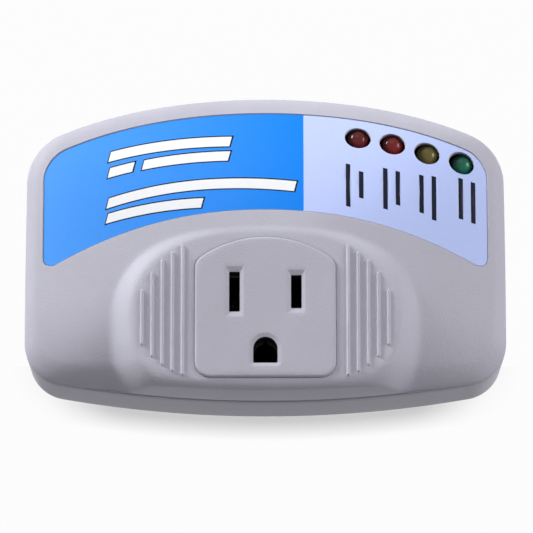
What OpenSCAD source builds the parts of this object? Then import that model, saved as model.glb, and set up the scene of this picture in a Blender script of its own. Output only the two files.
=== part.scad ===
// Direct plug-in voltage protector for a household appliance. Millimetres.
// X runs to the right as seen from the front, Y runs into the wall, Z runs up.
// The origin is the root of the ground pin, on the face that meets the wall.

/* [Housing] */
// Overall width of the housing
body_w = 99.7; // [98:0.1:112]
// Top edge of the housing above the middle of the slots
top_rise = 44.8; // [43.5:0.1:50]
// Bottom edge of the housing below the middle of the slots
bottom_drop = 19.8; // [19.2:0.1:24]
// Depth from the wall face to the front of the socket face
body_d = 32; // [31:0.5:35]
// Depth from the wall face to the parting plane of the two shells
parting_d = 18; // [17:0.5:19]
// Wall thickness of both shells
wall = 2; // [1.8:0.1:2.2]
// Radius of the long curved top edge
top_r = 122; // [115:1:150]
// Radius of the long curved bottom edge
bottom_r = 246; // [200:1:300]
// Radius of the barrel sides
side_r = 2200; // [600:50:3000]
// Radius of the two top corners
top_corner_r = 11.4; // [8:0.1:13]
// Radius of the two bottom corners
bottom_corner_r = 8.8; // [8:0.1:12]
// How far the domed face falls back from the platform to its edge
edge_fall = 10; // [8:0.5:10.5]
// Radius of the rounding between face and top or side
face_round = 2.4; // [1.8:0.1:3]
// Radius of the rounding between face and bottom, beside the platform
low_face_round = 5.5; // [3:0.5:6]
// Inward taper of the shell walls
draft = 0.5; // [0.3:0.1:0.7]

/* [Platform and ribs] */
// Width of the oval platform on each side of the socket face
platform_side = 11.9; // [11.7:0.1:14]
// Top of the platform above the middle of the slots
platform_rise = 12.3; // [12:0.1:13.5]
// Width of the soft fillet at the sides of the platform
platform_blend = 6.2; // [4:0.2:8]
// How far the ribs stand out of the platform
rib_h = 0.5; // [0.3:0.1:0.6]
// Width of one rib
rib_w = 0.8; // [0.6:0.1:1]
// Distance from rib to rib
rib_pitch = 2.15; // [1.9:0.05:2.2]
// Distance from the socket face to the middle of the first rib
rib_start = 2.7; // [2.2:0.1:3]

/* [Socket] */
// Distance between the two slots
slot_spacing = 12.7; // [12.5:0.1:12.9]
// Width of a slot
slot_w = 2.2; // [2:0.1:2.4]
// Height of the neutral slot
neutral_slot_h = 8.4; // [8.2:0.1:8.8]
// Height of the hot slot
hot_slot_h = 7; // [6.8:0.1:7.4]
// Ground hole below the middle of the slots
ground_drop = 11.9; // [11.7:0.1:12.1]
// Width of the ground hole
ground_hole_w = 5; // [4.9:0.1:5.2]
// Width of the raised socket face
face_w = 29; // [28:0.2:30]
// How far the socket face stands out of the platform
face_proud = 0.6; // [0.4:0.1:0.8]
// Radius of the arched top of the socket face
face_arch_r = 23.2; // [20:0.2:30]

/* [Plug] */
// Thickness of a blade
blade_t = 1.52; // [1.4:0.02:1.6]
// Width of the hot blade
hot_blade_w = 6.35; // [6.2:0.05:6.5]
// Width of the neutral blade
neutral_blade_w = 7.9; // [7.7:0.1:8]
// Length of the blades beyond the wall face
blade_l = 17.5; // [15.9:0.1:18.2]
// Diameter of the ground pin
pin_d = 4.8; // [4.6:0.05:4.9]
// Length of the ground pin beyond the wall face
pin_l = 21; // [19:0.5:22]

/* [Label and lamps] */
// Rim between the label and the top of the housing
label_top_inset = 4.2; // [3.6:0.05:5]
// Lower edge of the label below the top of the housing
label_low_inset = 26.6; // [25:0.1:27]
// Radius of the label's lower edge
label_low_r = 98; // [94:1:104]
// Rim between the label and the sides of the housing
label_side_inset = 3.8; // [3.5:0.1:5]
// Depth of the label recess
label_recess = 0.55; // [0.4:0.05:0.7]
// Thickness of the label
label_t = 0.3; // [0.2:0.05:0.35]
// Diameter of a lamp
led_d = 5; // [4.8:0.1:5.2]
// Distance from the side of the housing to the last lamp
led_side_inset = 9.15; // [9:0.05:10]
// Sideways distance from lamp to lamp
led_pitch = 7.17; // [6.8:0.01:7.2]
// Lamp row below the top edge
led_inset = 8.6; // [8:0.1:9]

/* [Board] */
// Thickness of the circuit board
board_t = 1.6; // [1.2:0.2:1.6]
// Distance between the board and the rear wall
board_gap = 1.6; // [1.5:0.1:2]
// Distance between the board's edge and the shell walls
board_margin = 1; // [0.6:0.1:1.4]

/* [Relay] */
// Length of the relay
relay_l = 29; // [28:0.5:30]
// Width of the relay
relay_w = 12.7; // [12.5:0.1:13]
// Height of the relay
relay_h = 15.7; // [15.5:0.1:15.8]
// Angle through which the armature swings
swing = 3.5; // [2.5:0.5:3.5]

/* [Trimmers] */
// Side of a trimmer body
trim_w = 6.8; // [6.4:0.2:7.2]
// Diameter of a trimmer's rotor
trim_rotor_d = 4.4; // [4:0.2:4.6]

/* [Fasteners] */
// Diameter of a housing screw's shank
screw_d = 2.8; // [2.6:0.1:3]
// Diameter of a housing screw's head
screw_head_d = 5; // [4.6:0.1:5.2]
// Diameter of a board screw's shank
board_screw_d = 2.2; // [2:0.1:2.4]

/* [Hidden] */
$fn = 48;

// Clearances and the overrun of a cut
fit = 0.1;
slack = 0.2;
running = 0.15;
over = 1;
// Wall left behind a pocket, and the thickness of a pressed contact
skin = 1;
leaf_t = 0.5;

// Levels along Z
slot_z = ground_drop;
top_z = slot_z + top_rise;
low_z = slot_z - bottom_drop;
body_h = top_rise + bottom_drop;
side_z = slot_z - 2 * wall;
dome_share = 0.405;
dome_z = low_z + dome_share * body_h;

// Levels along Y
pad_h = 1.2;
face_y = -body_d;
platform_y = face_y + face_proud;
parting_y = -parting_d;
rear_y = -pad_h;
inner_rear_y = rear_y - wall;
inner_front_y = platform_y + wall;
board_back_y = inner_rear_y - board_gap;
board_y = board_back_y - board_t;
lap = 1.4;

// A place on the board or shell as shares of the housing's width and height
function place(share) = [share[0] * body_w, low_z + share[1] * body_h];
function mirrored(p) = [-p[0], p[1]];

// Arc points, without the last one
function arc(c, r, a0, a1, n) =
    [for (i = [0:n - 1]) let (a = a0 + (a1 - a0) * i / n) c + r * [cos(a), sin(a)]];
function turn(c, p) = atan2(p[1] - c[1], p[0] - c[0]);
// Where two circles meet, on one side of the line through their middles
function meet(c0, r0, c1, r1, side) =
    let (d = norm(c1 - c0), u = (c1 - c0) / d)
    let (a = (r0 * r0 - r1 * r1 + d * d) / (2 * d))
    c0 + a * u + side * sqrt(max(0, r0 * r0 - a * a)) * [-u[1], u[0]];

// Housing outline: five arcs for the right half, mirrored for the left half
top_c = [0, top_z - top_r];
low_c = [0, low_z + bottom_r];
side_c = [body_w / 2 - side_r, side_z];
top_corner_c = meet(top_c, top_r - top_corner_r, side_c, side_r - top_corner_r, -1);
low_corner_c = meet(low_c, bottom_r - bottom_corner_r, side_c, side_r - bottom_corner_r, 1);
fine_counts = [10, 6, 14, 7, 12];
coarse_counts = [6, 4, 7, 4, 6];
function half_outline(e, n) =
    let (a1 = turn(top_c, top_corner_c), a2 = turn(side_c, top_corner_c))
    let (a3 = turn(side_c, low_corner_c), a4 = turn(low_c, low_corner_c))
    concat(arc(top_c, top_r - e, 90, a1, n[0]),
        arc(top_corner_c, top_corner_r - e, a1, a2, n[1]),
        arc(side_c, side_r - e, a2, a3, n[2]),
        arc(low_corner_c, bottom_corner_r - e, a3, a4, n[3]),
        arc(low_c, bottom_r - e, a4, -90, n[4]));
function outline(e, n = fine_counts) =
    let (half = half_outline(e, n), m = len(half))
    concat(half, [[0, low_z + e]], [for (i = [m - 1:-1:1]) mirrored(half[i])]);

// Dome: how far the face has fallen back at a place, from its share of the way out
dome_power = 2.2;
dome_norm = 4;
function way_out(p) =
    let (dz = p[1] - dome_z, hz = dz > 0 ? top_z - dome_z : dome_z - low_z)
    pow(pow(abs(p[0]) / (body_w / 2), dome_norm) + pow(abs(dz) / hz, dome_norm), 1 / dome_norm);
function fall(p) = edge_fall * pow(way_out(p), dome_power);
function dome_y(p) = platform_y + fall(p);

// Platform: an oval that runs out softly just above the bottom edge
platform_past = 3.3;
platform_a = face_w / 2 + platform_side;
platform_z = (slot_z + platform_rise + low_z - platform_past) / 2;
platform_edge = 1.3;
platform_power = 2.5;
meld_power = 14;
platform_b = slot_z + platform_rise - platform_z;
function soft_min(a, b) = pow(pow(a, -meld_power) + pow(b, -meld_power), -1 / meld_power);
function platform_point(toward, e) =
    let (d = toward - [0, platform_z], u = d / norm(d))
    let (oval = 1 / pow(pow(abs(u[0]) / (platform_a - e), platform_power)
        + pow(abs(u[1]) / (platform_b - e), platform_power), 1 / platform_power))
    [0, platform_z] + u * soft_min(oval, norm(d) - max(0, platform_edge - e / 2));
function soft(g) = g * g * g * (g * (6 * g - 15) + 10);

// One line of points from the platform's edge over the face and down the wall.
// e is the inset of the whole surface, sink is how far it lies behind the face.
blend_shares = [0, 0.25, 0.5, 0.75, 1];
blend_top_share = 0.35;
face_shares = [0.25, 0.5, 0.75, 1];
round_shares = [0.3, 0.6, 1];
round_fall_share = 1.35;
round_slope_share = 0.45;
round_room_share = 0.8;
blend_limit_share = 0.7;
round_limit_share = 0.5;
function face_rounding(p, room) =
    let (low = max(0, min(1, (slot_z - p[1]) / bottom_drop)))
    min(face_round + (low_face_round - face_round) * low, round_limit_share * room);
function point3(p, y) = [p[0], y, p[1]];
function mix(p, q, s) = p + (q - p) * s;
function dome_line(i, e, sink, end_y, at) =
    let (rim = at[i], start = platform_point(rim, e), room = norm(rim - start))
    let (r = face_rounding(rim, room), out = (rim - start) / room)
    let (edge = rim - out * r, reach = norm(edge - start))
    let (side_share = blend_top_share + (1 - blend_top_share) * pow(abs(out[0]), 3))
    let (band = min(platform_blend * side_share, blend_limit_share * reach))
    let (steps = concat([for (s = blend_shares) [s, s * band]],
        [for (s = face_shares) [1, band + s * (reach - band)]]))
    let (edge_y = dome_y(edge) + sink)
    let (drop = min(round_fall_share * r, round_room_share * (parting_y - dome_y(edge))))
    concat([for (g = steps) let (p = start + out * g[1])
            point3(p, platform_y + sink + soft(g[0]) * fall(p))],
        [for (s = round_shares)
            let (p = rim - out * r * (1 - s) * (1 - s) - out * draft * (1 - s) * s)
            let (y = edge_y + 2 * s * (1 - s) * round_slope_share * r + s * s * drop)
            point3(p, y)],
        [point3(rim, end_y)]);

// A closed solid over rings of equal count, front ring first, clockwise from the front
module skinned(rings) {
    m = len(rings);
    n = len(rings[0]);
    sides = [for (j = [0:m - 2], i = [0:n - 1]) let (k = (i + 1) % n)
        [[j * n + i, (j + 1) * n + i, (j + 1) * n + k], [j * n + i, (j + 1) * n + k, j * n + k]]];
    polyhedron(points = [for (ring = rings, p = ring) p],
        faces = concat([[for (i = [0:n - 1]) i]], [[for (i = [n - 1:-1:0]) (m - 1) * n + i]],
            [for (pair = sides, f = pair) f]));
}
module dome_solid(e, sink, end_y, n) {
    at = outline(e, n);
    lines = [for (i = [0:len(at) - 1]) dome_line(i, e, sink, end_y, at)];
    skinned([for (j = [0:len(lines[0]) - 1]) [for (line = lines) line[j]]]);
}
// Rings given as outline insets at levels along Y
module stacked(levels) {
    skinned([for (l = levels) [for (p = outline(l[0])) point3(p, l[1])]]);
}

// A plan shape in X and Z, extruded from y0 to y1
module plan(y0, y1) {
    translate([0, y1, 0]) rotate([90, 0, 0]) linear_extrude(y1 - y0) children();
}
module rod(p, y0, y1, d) {
    translate([p[0], y1, p[1]]) rotate([90, 0, 0]) cylinder(h = y1 - y0, d = d);
}
// A block centred on a place, with its width in X and height in Z
module slab(p, w, h, y0, y1) {
    translate([p[0] - w / 2, y0, p[1] - h / 2]) cube([w, y1 - y0, h]);
}
// A turned piece whose profile is drawn with radius across and Y upwards
module turned(p) {
    translate([p[0], 0, p[1]]) rotate([-90, 0, 0]) rotate_extrude() children();
}
// A bent strip of even thickness along points, as an outline
function strip(pts, t) =
    let (m = len(pts))
    let (side = [for (i = [0:m - 1])
        let (a = pts[max(0, i - 1)], b = pts[min(m - 1, i + 1)], d = (b - a) / norm(b - a))
        [-d[1], d[0]] * t / 2])
    concat([for (i = [0:m - 1]) pts[i] + side[i]], [for (i = [m - 1:-1:0]) pts[i] - side[i]]);
// A strip drawn in X and Y and given a width along Z
module pressed(pts, t, z, w) {
    translate([0, 0, z - w / 2]) linear_extrude(w) polygon(strip(pts, t));
}

// Socket face outline: arched top, rounded corners, flat bottom
face_top_inset = 0.7;
face_top_z = slot_z + platform_rise - face_top_inset;
face_low_inset = 2.3;
face_low_z = low_z + face_low_inset;
face_corner_r = 3.2;
function face_outline(e) =
    let (r = face_corner_r, w = face_w / 2 - r, c = [0, face_top_z - face_arch_r])
    let (hi = c + [w, sqrt(pow(face_arch_r - r, 2) - w * w)], lo = [w, face_low_z + r])
    let (a = turn(c, hi), right = concat(arc(c, face_arch_r - e, 90, a, 8),
        arc(hi, r - e, a, 0, 6), arc(lo, r - e, 0, -90, 6), [lo - [0, r - e]]))
    concat(right, [for (i = [len(right) - 1:-1:1]) mirrored(right[i])]);

// Lamps lie on an arc that runs along the top edge
function led_at(i) =
    let (x = body_w / 2 - led_side_inset - (3 - i) * led_pitch)
    [x, top_c[1] + sqrt(pow(top_r - led_inset, 2) - x * x)];
led_hole_d = led_d + 2 * slack;
led_sunk = 0.25;
led_flange = 0.8;
led_l = 8.6;
function led_tip_y(i) = dome_y(led_at(i)) + label_recess + led_sunk;

// Screw columns
screw_shares = [[0.428, 0.564], [0.387, 0.167]];
screw_places = [for (s = screw_shares) each [place(s), mirrored(place(s))]];
column_wall = 1.2;
column_r = screw_head_d / 2 + slack + column_wall;
post_r = screw_d / 2 + column_wall;
post_overlap = 4;
post_end_y = parting_y + post_overlap;
screw_head_h = 2;
screw_sunk = 1.6;
screw_seat_y = rear_y - screw_sunk - screw_head_h;
screw_l = 13;

// Label: columns of points between two arcs that run along the top edge
label_columns = 28;
label_rows = 5;
label_top_corner = 4.5;
label_low_corner = 3;
function label_edge(x, half, inset, r, corner, sign) =
    let (over_x = max(0, abs(x) - (half - corner)))
    top_z - inset - r + sqrt(r * r - x * x)
        - sign * (corner - sqrt(max(0, corner * corner - over_x * over_x)));
function label_grid(e, sink) =
    let (half = body_w / 2 - label_side_inset - e)
    [for (i = [0:label_columns]) let (x = -half * cos(180 * i / label_columns))
        let (top = label_top_inset + e)
        let (hi = label_edge(x, half, top, top_r - top, label_top_corner, 1))
        let (lo = label_edge(x, half, label_low_inset - e, label_low_r + e, label_low_corner, -1))
        [for (j = [0:label_rows]) let (p = [x, lo + (hi - lo) * j / label_rows])
            point3(p, dome_y(p) + sink)]];
// A closed slab between two grids of points, the first in front of the second
module between(front, back) {
    n = len(front);
    m = len(front[0]);
    f = function(i, j) i * m + j;
    b = function(i, j) n * m + i * m + j;
    cells = [for (i = [0:n - 2], j = [0:m - 2])
        [[f(i, j), f(i, j + 1), f(i + 1, j + 1)], [f(i, j), f(i + 1, j + 1), f(i + 1, j)],
         [b(i, j), b(i + 1, j + 1), b(i, j + 1)], [b(i, j), b(i + 1, j), b(i + 1, j + 1)]]];
    ends = [for (j = [0:m - 2])
        [[f(0, j), b(0, j), b(0, j + 1)], [f(0, j), b(0, j + 1), f(0, j + 1)],
         [f(n - 1, j), b(n - 1, j + 1), b(n - 1, j)],
         [f(n - 1, j), f(n - 1, j + 1), b(n - 1, j + 1)]]];
    edges = [for (i = [0:n - 2])
        [[f(i, 0), b(i + 1, 0), b(i, 0)], [f(i, 0), f(i + 1, 0), b(i + 1, 0)],
         [f(i, m - 1), b(i, m - 1), b(i + 1, m - 1)],
         [f(i, m - 1), b(i + 1, m - 1), f(i + 1, m - 1)]]];
    polyhedron(points = concat([for (c = front, p = c) p], [for (c = back, p = c) p]),
        faces = [for (g = concat(cells, ends, edges), t = g) t]);
}

// Front housing: domed shell with platform, ribs, label recess and screw posts
rib_top_shares = [0.78, 0.659, 0.52, 0.309, 0.016];
rib_low_shares = [0.854, 0.813, 0.748, 0.662, 0.54];
rib_fn = 12;
hole_fn = 32;
post_fn = 20;
collar_wall = 0.9;
collar_l = 2.5;
module rib(i, side) {
    x = side * (face_w / 2 + rib_start + i * rib_pitch);
    hull() for (z = [slot_z + rib_top_shares[i] * platform_rise,
            slot_z - rib_low_shares[i] * bottom_drop])
        translate([x, platform_y - rib_h, z]) rotate([-90, 0, 0])
            cylinder(h = rib_h + skin, d1 = rib_w / 2, d2 = rib_w, $fn = rib_fn);
}
module front_housing() color("lavender") {
    difference() {
        union() {
            difference() {
                dome_solid(0, 0, parting_y, fine_counts);
                dome_solid(wall + draft, wall, parting_y + over, coarse_counts);
            }
            intersection() {
                dome_solid(skin, skin, 0, coarse_counts);
                union() {
                    for (p = screw_places)
                        rod(p, platform_y, post_end_y, 2 * post_r, $fn = post_fn);
                    for (i = [0:3]) rod(led_at(i), platform_y, led_tip_y(i) + wall + collar_l,
                        led_hole_d + 2 * collar_wall, $fn = hole_fn);
                }
            }
            for (i = [0:len(rib_top_shares) - 1], side = [-1, 1]) rib(i, side);
        }
        plan(face_y - over, inner_front_y + 3 * fit) polygon(face_outline(-fit));
        plan(parting_y - lap - fit, parting_y + over) difference() {
            polygon(outline(wall / 2));
            polygon(outline(wall + draft + slack));
        }
        between(label_grid(0, -over), label_grid(0, label_recess));
        for (i = [0:3]) rod(led_at(i), face_y, led_tip_y(i) + led_l, led_hole_d, $fn = hole_fn);
        for (p = screw_places)
            rod(p, dome_y(p) + wall, post_end_y + over, screw_d - slack, $fn = post_fn);
    }
}

// Socket face: plate with the two slots and the ground hole, held by a flange behind
slot_bevel = 0.75;
slot_end_bevel = 1.1;
slot_bevel_d = 0.35;
edge_round = 0.5;
face_flange = 1.5;
face_flange_t = 1.2;
flange_low_gap = 1;
flange_low_z = low_z + wall + draft + platform_edge + flange_low_gap;
flange_y = inner_front_y + fit;
block_y = flange_y + face_flange_t + fit;
ground_flat_drop = 2.95;
function slot_x(side) = side * slot_spacing / 2;
module slot_bevel_cut(x, h) {
    hull() {
        slab([x, slot_z], slot_w, h, face_y + slot_bevel_d, face_y + slot_bevel_d + fit);
        slab([x, slot_z], slot_w + 2 * slot_bevel, h + 2 * slot_end_bevel,
            face_y - fit, face_y);
    }
}
module ground_hole(y0, y1) {
    rod([0, 0], y0, y1, ground_hole_w);
    translate([-ground_hole_w / 2, y0, -ground_flat_drop])
        cube([ground_hole_w, y1 - y0, ground_flat_drop]);
}
module socket_face() color("thistle") {
    difference() {
        union() {
            skinned([for (l = [[edge_round, face_y], [edge_round / 4, face_y + edge_round / 2],
                    [0, face_y + edge_round], [0, flange_y + fit]])
                [for (p = face_outline(l[0])) point3(p, l[1])]]);
            translate([-face_w / 2 - face_flange, flange_y, flange_low_z])
                cube([face_w + 2 * face_flange, face_flange_t,
                    slot_z + block_top_rise - flange_low_z]);
        }
        slab([slot_x(-1), slot_z], slot_w, neutral_slot_h, face_y - over, block_y);
        slab([slot_x(1), slot_z], slot_w, hot_slot_h, face_y - over, block_y);
        slot_bevel_cut(slot_x(-1), neutral_slot_h);
        slot_bevel_cut(slot_x(1), hot_slot_h);
        ground_hole(face_y - over, block_y);
    }
}

// Rear housing: tray with a locating tongue, screw columns and the wall pad
pad_w = 60;
pad_top_share = 0.72;
pad_corner_r = 4;
pad_low_inset = 0.4;
blade_slack = 0.15;
rear_round = 1.5;
function pad_outline() =
    let (w = pad_w / 2, hi = place([0, pad_top_share])[1], r = pad_corner_r)
    let (low = [for (i = [0:12]) let (x = w * (1 - i / 6))
        [x, low_c[1] - sqrt(pow(bottom_r - draft - pad_low_inset, 2) - x * x)]])
    concat(low, arc([r - w, hi - r], r, 180, 90, 6), [[r - w, hi]],
        arc([w - r, hi - r], r, 90, 0, 6), [[w, hi - r]]);
board_screw_shares = [[0.362, 0.31], [0, 0.885]];
board_screw_places = [place(board_screw_shares[0]), mirrored(place(board_screw_shares[0])),
    place(board_screw_shares[1])];
board_post_r = 3;
board_screw_end_y = rear_y - skin;
board_screw_head_d = 4.6;
board_screw_head_h = 1.5;
module rear_housing() color("gray") {
    difference() {
        union() {
            difference() {
                union() {
                    stacked([[0, parting_y], [draft, rear_y - rear_round],
                        [draft + rear_round / 4, rear_y - rear_round / 2],
                        [draft + rear_round, rear_y]]);
                    plan(rear_y - skin, 0) polygon(pad_outline());
                    plan(parting_y - lap, parting_y + over)
                        polygon(outline(wall / 2 + fit));
                }
                plan(parting_y - lap - over, inner_rear_y) polygon(outline(wall + draft));
            }
            for (p = screw_places) rod(p, post_end_y + slack, rear_y - skin, 2 * column_r);
            for (p = board_screw_places) rod(p, board_back_y, rear_y - skin, 2 * board_post_r);
        }
        for (p = screw_places) {
            rod(p, screw_seat_y, over, screw_head_d + 2 * slack);
            rod(p, parting_y, over, screw_d + slack);
        }
        for (p = board_screw_places) rod(p, board_back_y - over, board_screw_end_y, board_screw_d);
        slab([slot_x(-1), slot_z], blade_t + 2 * blade_slack, neutral_blade_w + 2 * blade_slack,
            inner_rear_y - over, over);
        slab([slot_x(1), slot_z], blade_t + 2 * blade_slack, hot_blade_w + 2 * blade_slack,
            inner_rear_y - over, over);
        rod([0, 0], inner_rear_y - over, over, pin_d + 2 * blade_slack);
    }
}

// Label: printed sheet that lies in the recess and leaves the lamps free
module label_sheet() color("dodgerblue") {
    difference() {
        between(label_grid(slack, label_recess - label_t), label_grid(slack, label_recess - fit / 2));
        for (i = [0:3]) rod(led_at(i), face_y, parting_y, led_hole_d + slack);
    }
}

// Lamps: domed lens with a base flange, and two leads down to the board
module led(i) {
    tip = led_tip_y(i);
    turned(led_at(i)) {
        translate([0, tip + led_d / 2]) square([led_d / 2, led_l - led_d / 2]);
        translate([0, tip + led_l - led_flange]) square([led_d / 2 + led_flange / 2, led_flange]);
        intersection() {
            translate([0, tip + led_d / 2]) circle(d = led_d, $fn = 32);
            translate([0, tip - over]) square([led_d, led_d / 2 + 2 * over]);
        }
    }
}
module led_low_voltage() color("darkred") led(0);
module led_high_voltage() color("darkred") led(1);
module led_wait() color("olive") led(2);
module led_normal() color("darkgreen") led(3);
lead_t = 0.5;
lead_gap = 2.54;
lead_hole_d = 1;
lead_stub = 1.2;
module led_leads() color("silver") {
    for (i = [0:3], side = [-1, 1])
        slab(led_at(i) + [side * lead_gap / 2, 0], lead_t, lead_t,
            led_tip_y(i) + led_l, board_back_y + lead_stub);
}

// Circuit board: follows the shell, notched round the columns
contact_tail_w = 3;
tail_t = 0.8;
module board_slot(p, w, h) {
    slab(p, w + 2 * slack, h + 2 * slack, board_y - over, board_back_y + over);
}
module circuit_board() color("darkolivegreen") {
    difference() {
        plan(board_y, board_back_y) polygon(outline(wall + draft + board_margin));
        for (p = screw_places) rod(p, board_y - over, board_back_y + over, 2 * (column_r + slack));
        for (p = board_screw_places) rod(p, board_y - over, board_back_y + over, board_screw_d + slack);
        for (i = [0:3], side = [-1, 1])
            rod(led_at(i) + [side * lead_gap / 2, 0], board_y - over, board_back_y + over, lead_hole_d);
        for (side = [-1, 1]) {
            board_slot([slot_x(side), slot_z + tail_z], tail_t, contact_tail_w);
            board_slot([slot_x(side), slot_z - tail_z], tail_t, contact_tail_w);
        }
        board_slot([ground_tail_x, 0], tail_t, contact_tail_w);
        rod([0, 0], board_y - over, board_back_y + over, pin_tail_d + slack);
        for (x = relay_pin_xs) board_slot([x, relay_z], leaf_t, pin_w);
    }
}
// The two rows of tails on one pole lie above and below the middle of the slot
tail_z = 2.2;
ground_tail_x = 2.8;
pin_tail_d = 2;

// Contact block: moulding with a pocket for each contact, on the board
block_inset = 0.9;
block_w = face_w - 2 * block_inset;
block_top_rise = 6.6;
block_low_z = low_z + wall + draft + platform_edge + slack;
pocket_w = 4.4;
block_floor = 1.4;
contact_h = 5.4;
contact_end_y = board_y - block_floor - fit;
block_corner_r = 2;
module contact_block() color("dimgray") {
    top = slot_z + block_top_rise;
    difference() {
        plan(block_y, board_y) difference() {
            translate([-block_w / 2, block_low_z]) square([block_w, top - block_low_z]);
            for (side = [-1, 1]) translate([side * block_w / 2, top])
                rotate(45) square(block_corner_r * sqrt(2), center = true);
        }
        for (side = [-1, 1]) {
            slab([slot_x(side), slot_z], pocket_w, neutral_slot_h + slack,
                block_y - over, contact_end_y + fit);
            slab([slot_x(side), slot_z + tail_z], tail_t + slack, contact_tail_w + slack,
                contact_end_y - over, board_y + over);
            slab([slot_x(side), slot_z - tail_z], tail_t + slack, contact_tail_w + slack,
                board_y - lead_stub - slack, board_y + over);
        }
        rod([0, 0], board_y - lead_stub - slack, board_y + over, pin_tail_d + slack);
        slab([0, 0], ground_pocket_w, ground_pocket_w, block_y - over, contact_end_y + fit);
        slab([ground_tail_x, 0], tail_t + slack, contact_tail_w + slack,
            contact_end_y - over, board_y + over);
    }
}

// Blade contact: a fork of two bowed leaves on a folded base, with a tail
contact_nip_share = 0.28;
contact_mouth = 1.6;
contact_nip = 0.95;
module blade_contact(x) {
    y0 = block_y + skin;
    y1 = contact_end_y - leaf_t / 2;
    len_y = y1 - y0;
    for (side = [-1, 1])
        pressed([[x + side * contact_mouth, y0],
            [x + side * contact_nip, y0 + contact_nip_share * len_y],
            [x + side * (contact_mouth + contact_nip) / 2, y0 + 2 * contact_nip_share * len_y],
            [x + side * contact_mouth, y1 - leaf_t], [x + side * contact_mouth, y1]],
            leaf_t, slot_z, contact_h);
    slab([x, slot_z], 2 * contact_mouth + leaf_t, contact_h, y1 - leaf_t / 2, contact_end_y);
    slab([x, slot_z + tail_z], tail_t, contact_tail_w, y1, board_back_y + fit);
}
module socket_hot_contact() color("goldenrod") blade_contact(slot_x(1));
module socket_neutral_contact() color("goldenrod") blade_contact(slot_x(-1));

// Ground contact: rolled and slit sleeve on a flat base, with a tail
sleeve_start = 1.5;
sleeve_flare = 0.3;
sleeve_slit = 0.9;
ground_pocket_w = pin_d + fit + 2 * leaf_t + sleeve_flare + slack;
module socket_ground_contact() color("goldenrod") {
    y0 = block_y + sleeve_start;
    r = pin_d / 2 + fit / 2;
    difference() {
        union() {
            rod([0, 0], y0, contact_end_y, 2 * (r + leaf_t));
            rod([0, 0], y0, y0 + skin, 2 * (r + leaf_t) + sleeve_flare);
        }
        rod([0, 0], y0 - over, contact_end_y - leaf_t, 2 * r);
        slab([0, 0], sleeve_slit, ground_pocket_w, y0 - over, contact_end_y - 2 * block_floor);
    }
    slab([ground_tail_x, 0], tail_t, contact_tail_w, contact_end_y - leaf_t, board_back_y + fit);
}

// Plug blades: bevelled blade with a shoulder inside the rear wall, and a tail
shoulder_t = board_gap - 3 * fit;
shoulder_w = 4.4;
shoulder_extra = 2;
tip_l = 2;
tip_t = 0.7;
blade_hole_d = 3.1;
blade_hole_back = 4;
module plug_blade(x, w) {
    y0 = inner_rear_y;
    difference() {
        intersection() {
            translate([0, 0, slot_z - w / 2]) linear_extrude(w)
                polygon([[x - blade_t / 2, y0 - fit], [x + blade_t / 2, y0 - fit],
                    [x + blade_t / 2, blade_l - tip_l], [x + tip_t / 2, blade_l],
                    [x - tip_t / 2, blade_l], [x - blade_t / 2, blade_l - tip_l]]);
            translate([x - blade_t, 0, slot_z]) rotate([90, 0, 90]) linear_extrude(2 * blade_t)
                polygon([[y0 - over, -w / 2], [blade_l - tip_l, -w / 2],
                    [blade_l, tip_l / 2 - w / 2], [blade_l, w / 2 - tip_l / 2],
                    [blade_l - tip_l, w / 2], [y0 - over, w / 2]]);
        }
        translate([x - blade_t, blade_l - blade_hole_back, slot_z]) rotate([0, 90, 0])
            cylinder(h = 2 * blade_t, d = blade_hole_d);
    }
    slab([x, slot_z], shoulder_w, w + shoulder_extra, y0 - shoulder_t, y0);
    slab([x, slot_z - tail_z], tail_t, contact_tail_w, board_y - lead_stub, y0 - shoulder_t / 2);
}
module plug_hot_blade() color("silver") plug_blade(slot_x(1), hot_blade_w);
module plug_neutral_blade() color("silver") plug_blade(slot_x(-1), neutral_blade_w);

// Ground pin: turned pin with a rounded tip, a flange inside the wall and a tail
pin_tip = 1;
pin_neck = 0.4;
pin_flange_d = 7.2;
module plug_ground_pin() color("silver") {
    rod([0, 0], 0, pin_l - pin_tip, pin_d);
    rod([0, 0], inner_rear_y, fit, pin_d - pin_neck);
    turned([0, 0]) intersection() {
        translate([0, pin_l - pin_tip - fit]) square([pin_d / 2, pin_tip + fit]);
        union() {
            translate([0, pin_l - pin_tip - fit]) square([pin_d / 2 - pin_tip, pin_tip + fit]);
            translate([pin_d / 2 - pin_tip, pin_l - pin_tip]) circle(r = pin_tip, $fn = 32);
            translate([0, pin_l - pin_tip - fit]) square([pin_d / 2, fit]);
        }
    }
    rod([0, 0], inner_rear_y - shoulder_t, inner_rear_y, pin_flange_d);
    rod([0, 0], board_y - lead_stub, inner_rear_y - shoulder_t / 2, pin_tail_d);
}

// Blade retainer: flat insulating frame round the shoulders, behind the board
retainer_t = shoulder_t;
retainer_w = 24;
retainer_margin = 1.2;
module blade_retainer() color("burlywood") {
    low = -pin_flange_d / 2 - retainer_margin;
    top = slot_z + (neutral_blade_w + shoulder_extra) / 2 + retainer_margin;
    difference() {
        plan(inner_rear_y - retainer_t, inner_rear_y) intersection() {
            translate([-retainer_w / 2, low]) square([retainer_w, top - low]);
            polygon(outline(wall + draft + slack));
        }
        slab([slot_x(1), slot_z], shoulder_w + 2 * slack, hot_blade_w + shoulder_extra + 2 * slack,
            board_back_y, inner_rear_y + over);
        slab([slot_x(-1), slot_z], shoulder_w + 2 * slack,
            neutral_blade_w + shoulder_extra + 2 * slack, board_back_y, inner_rear_y + over);
        rod([0, 0], board_back_y, inner_rear_y + over, pin_flange_d + 2 * slack);
        slab([ground_tail_x, 0], tail_t + 2 * slack, contact_tail_w + 2 * slack,
            board_back_y, inner_rear_y + over);
    }
}

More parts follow.
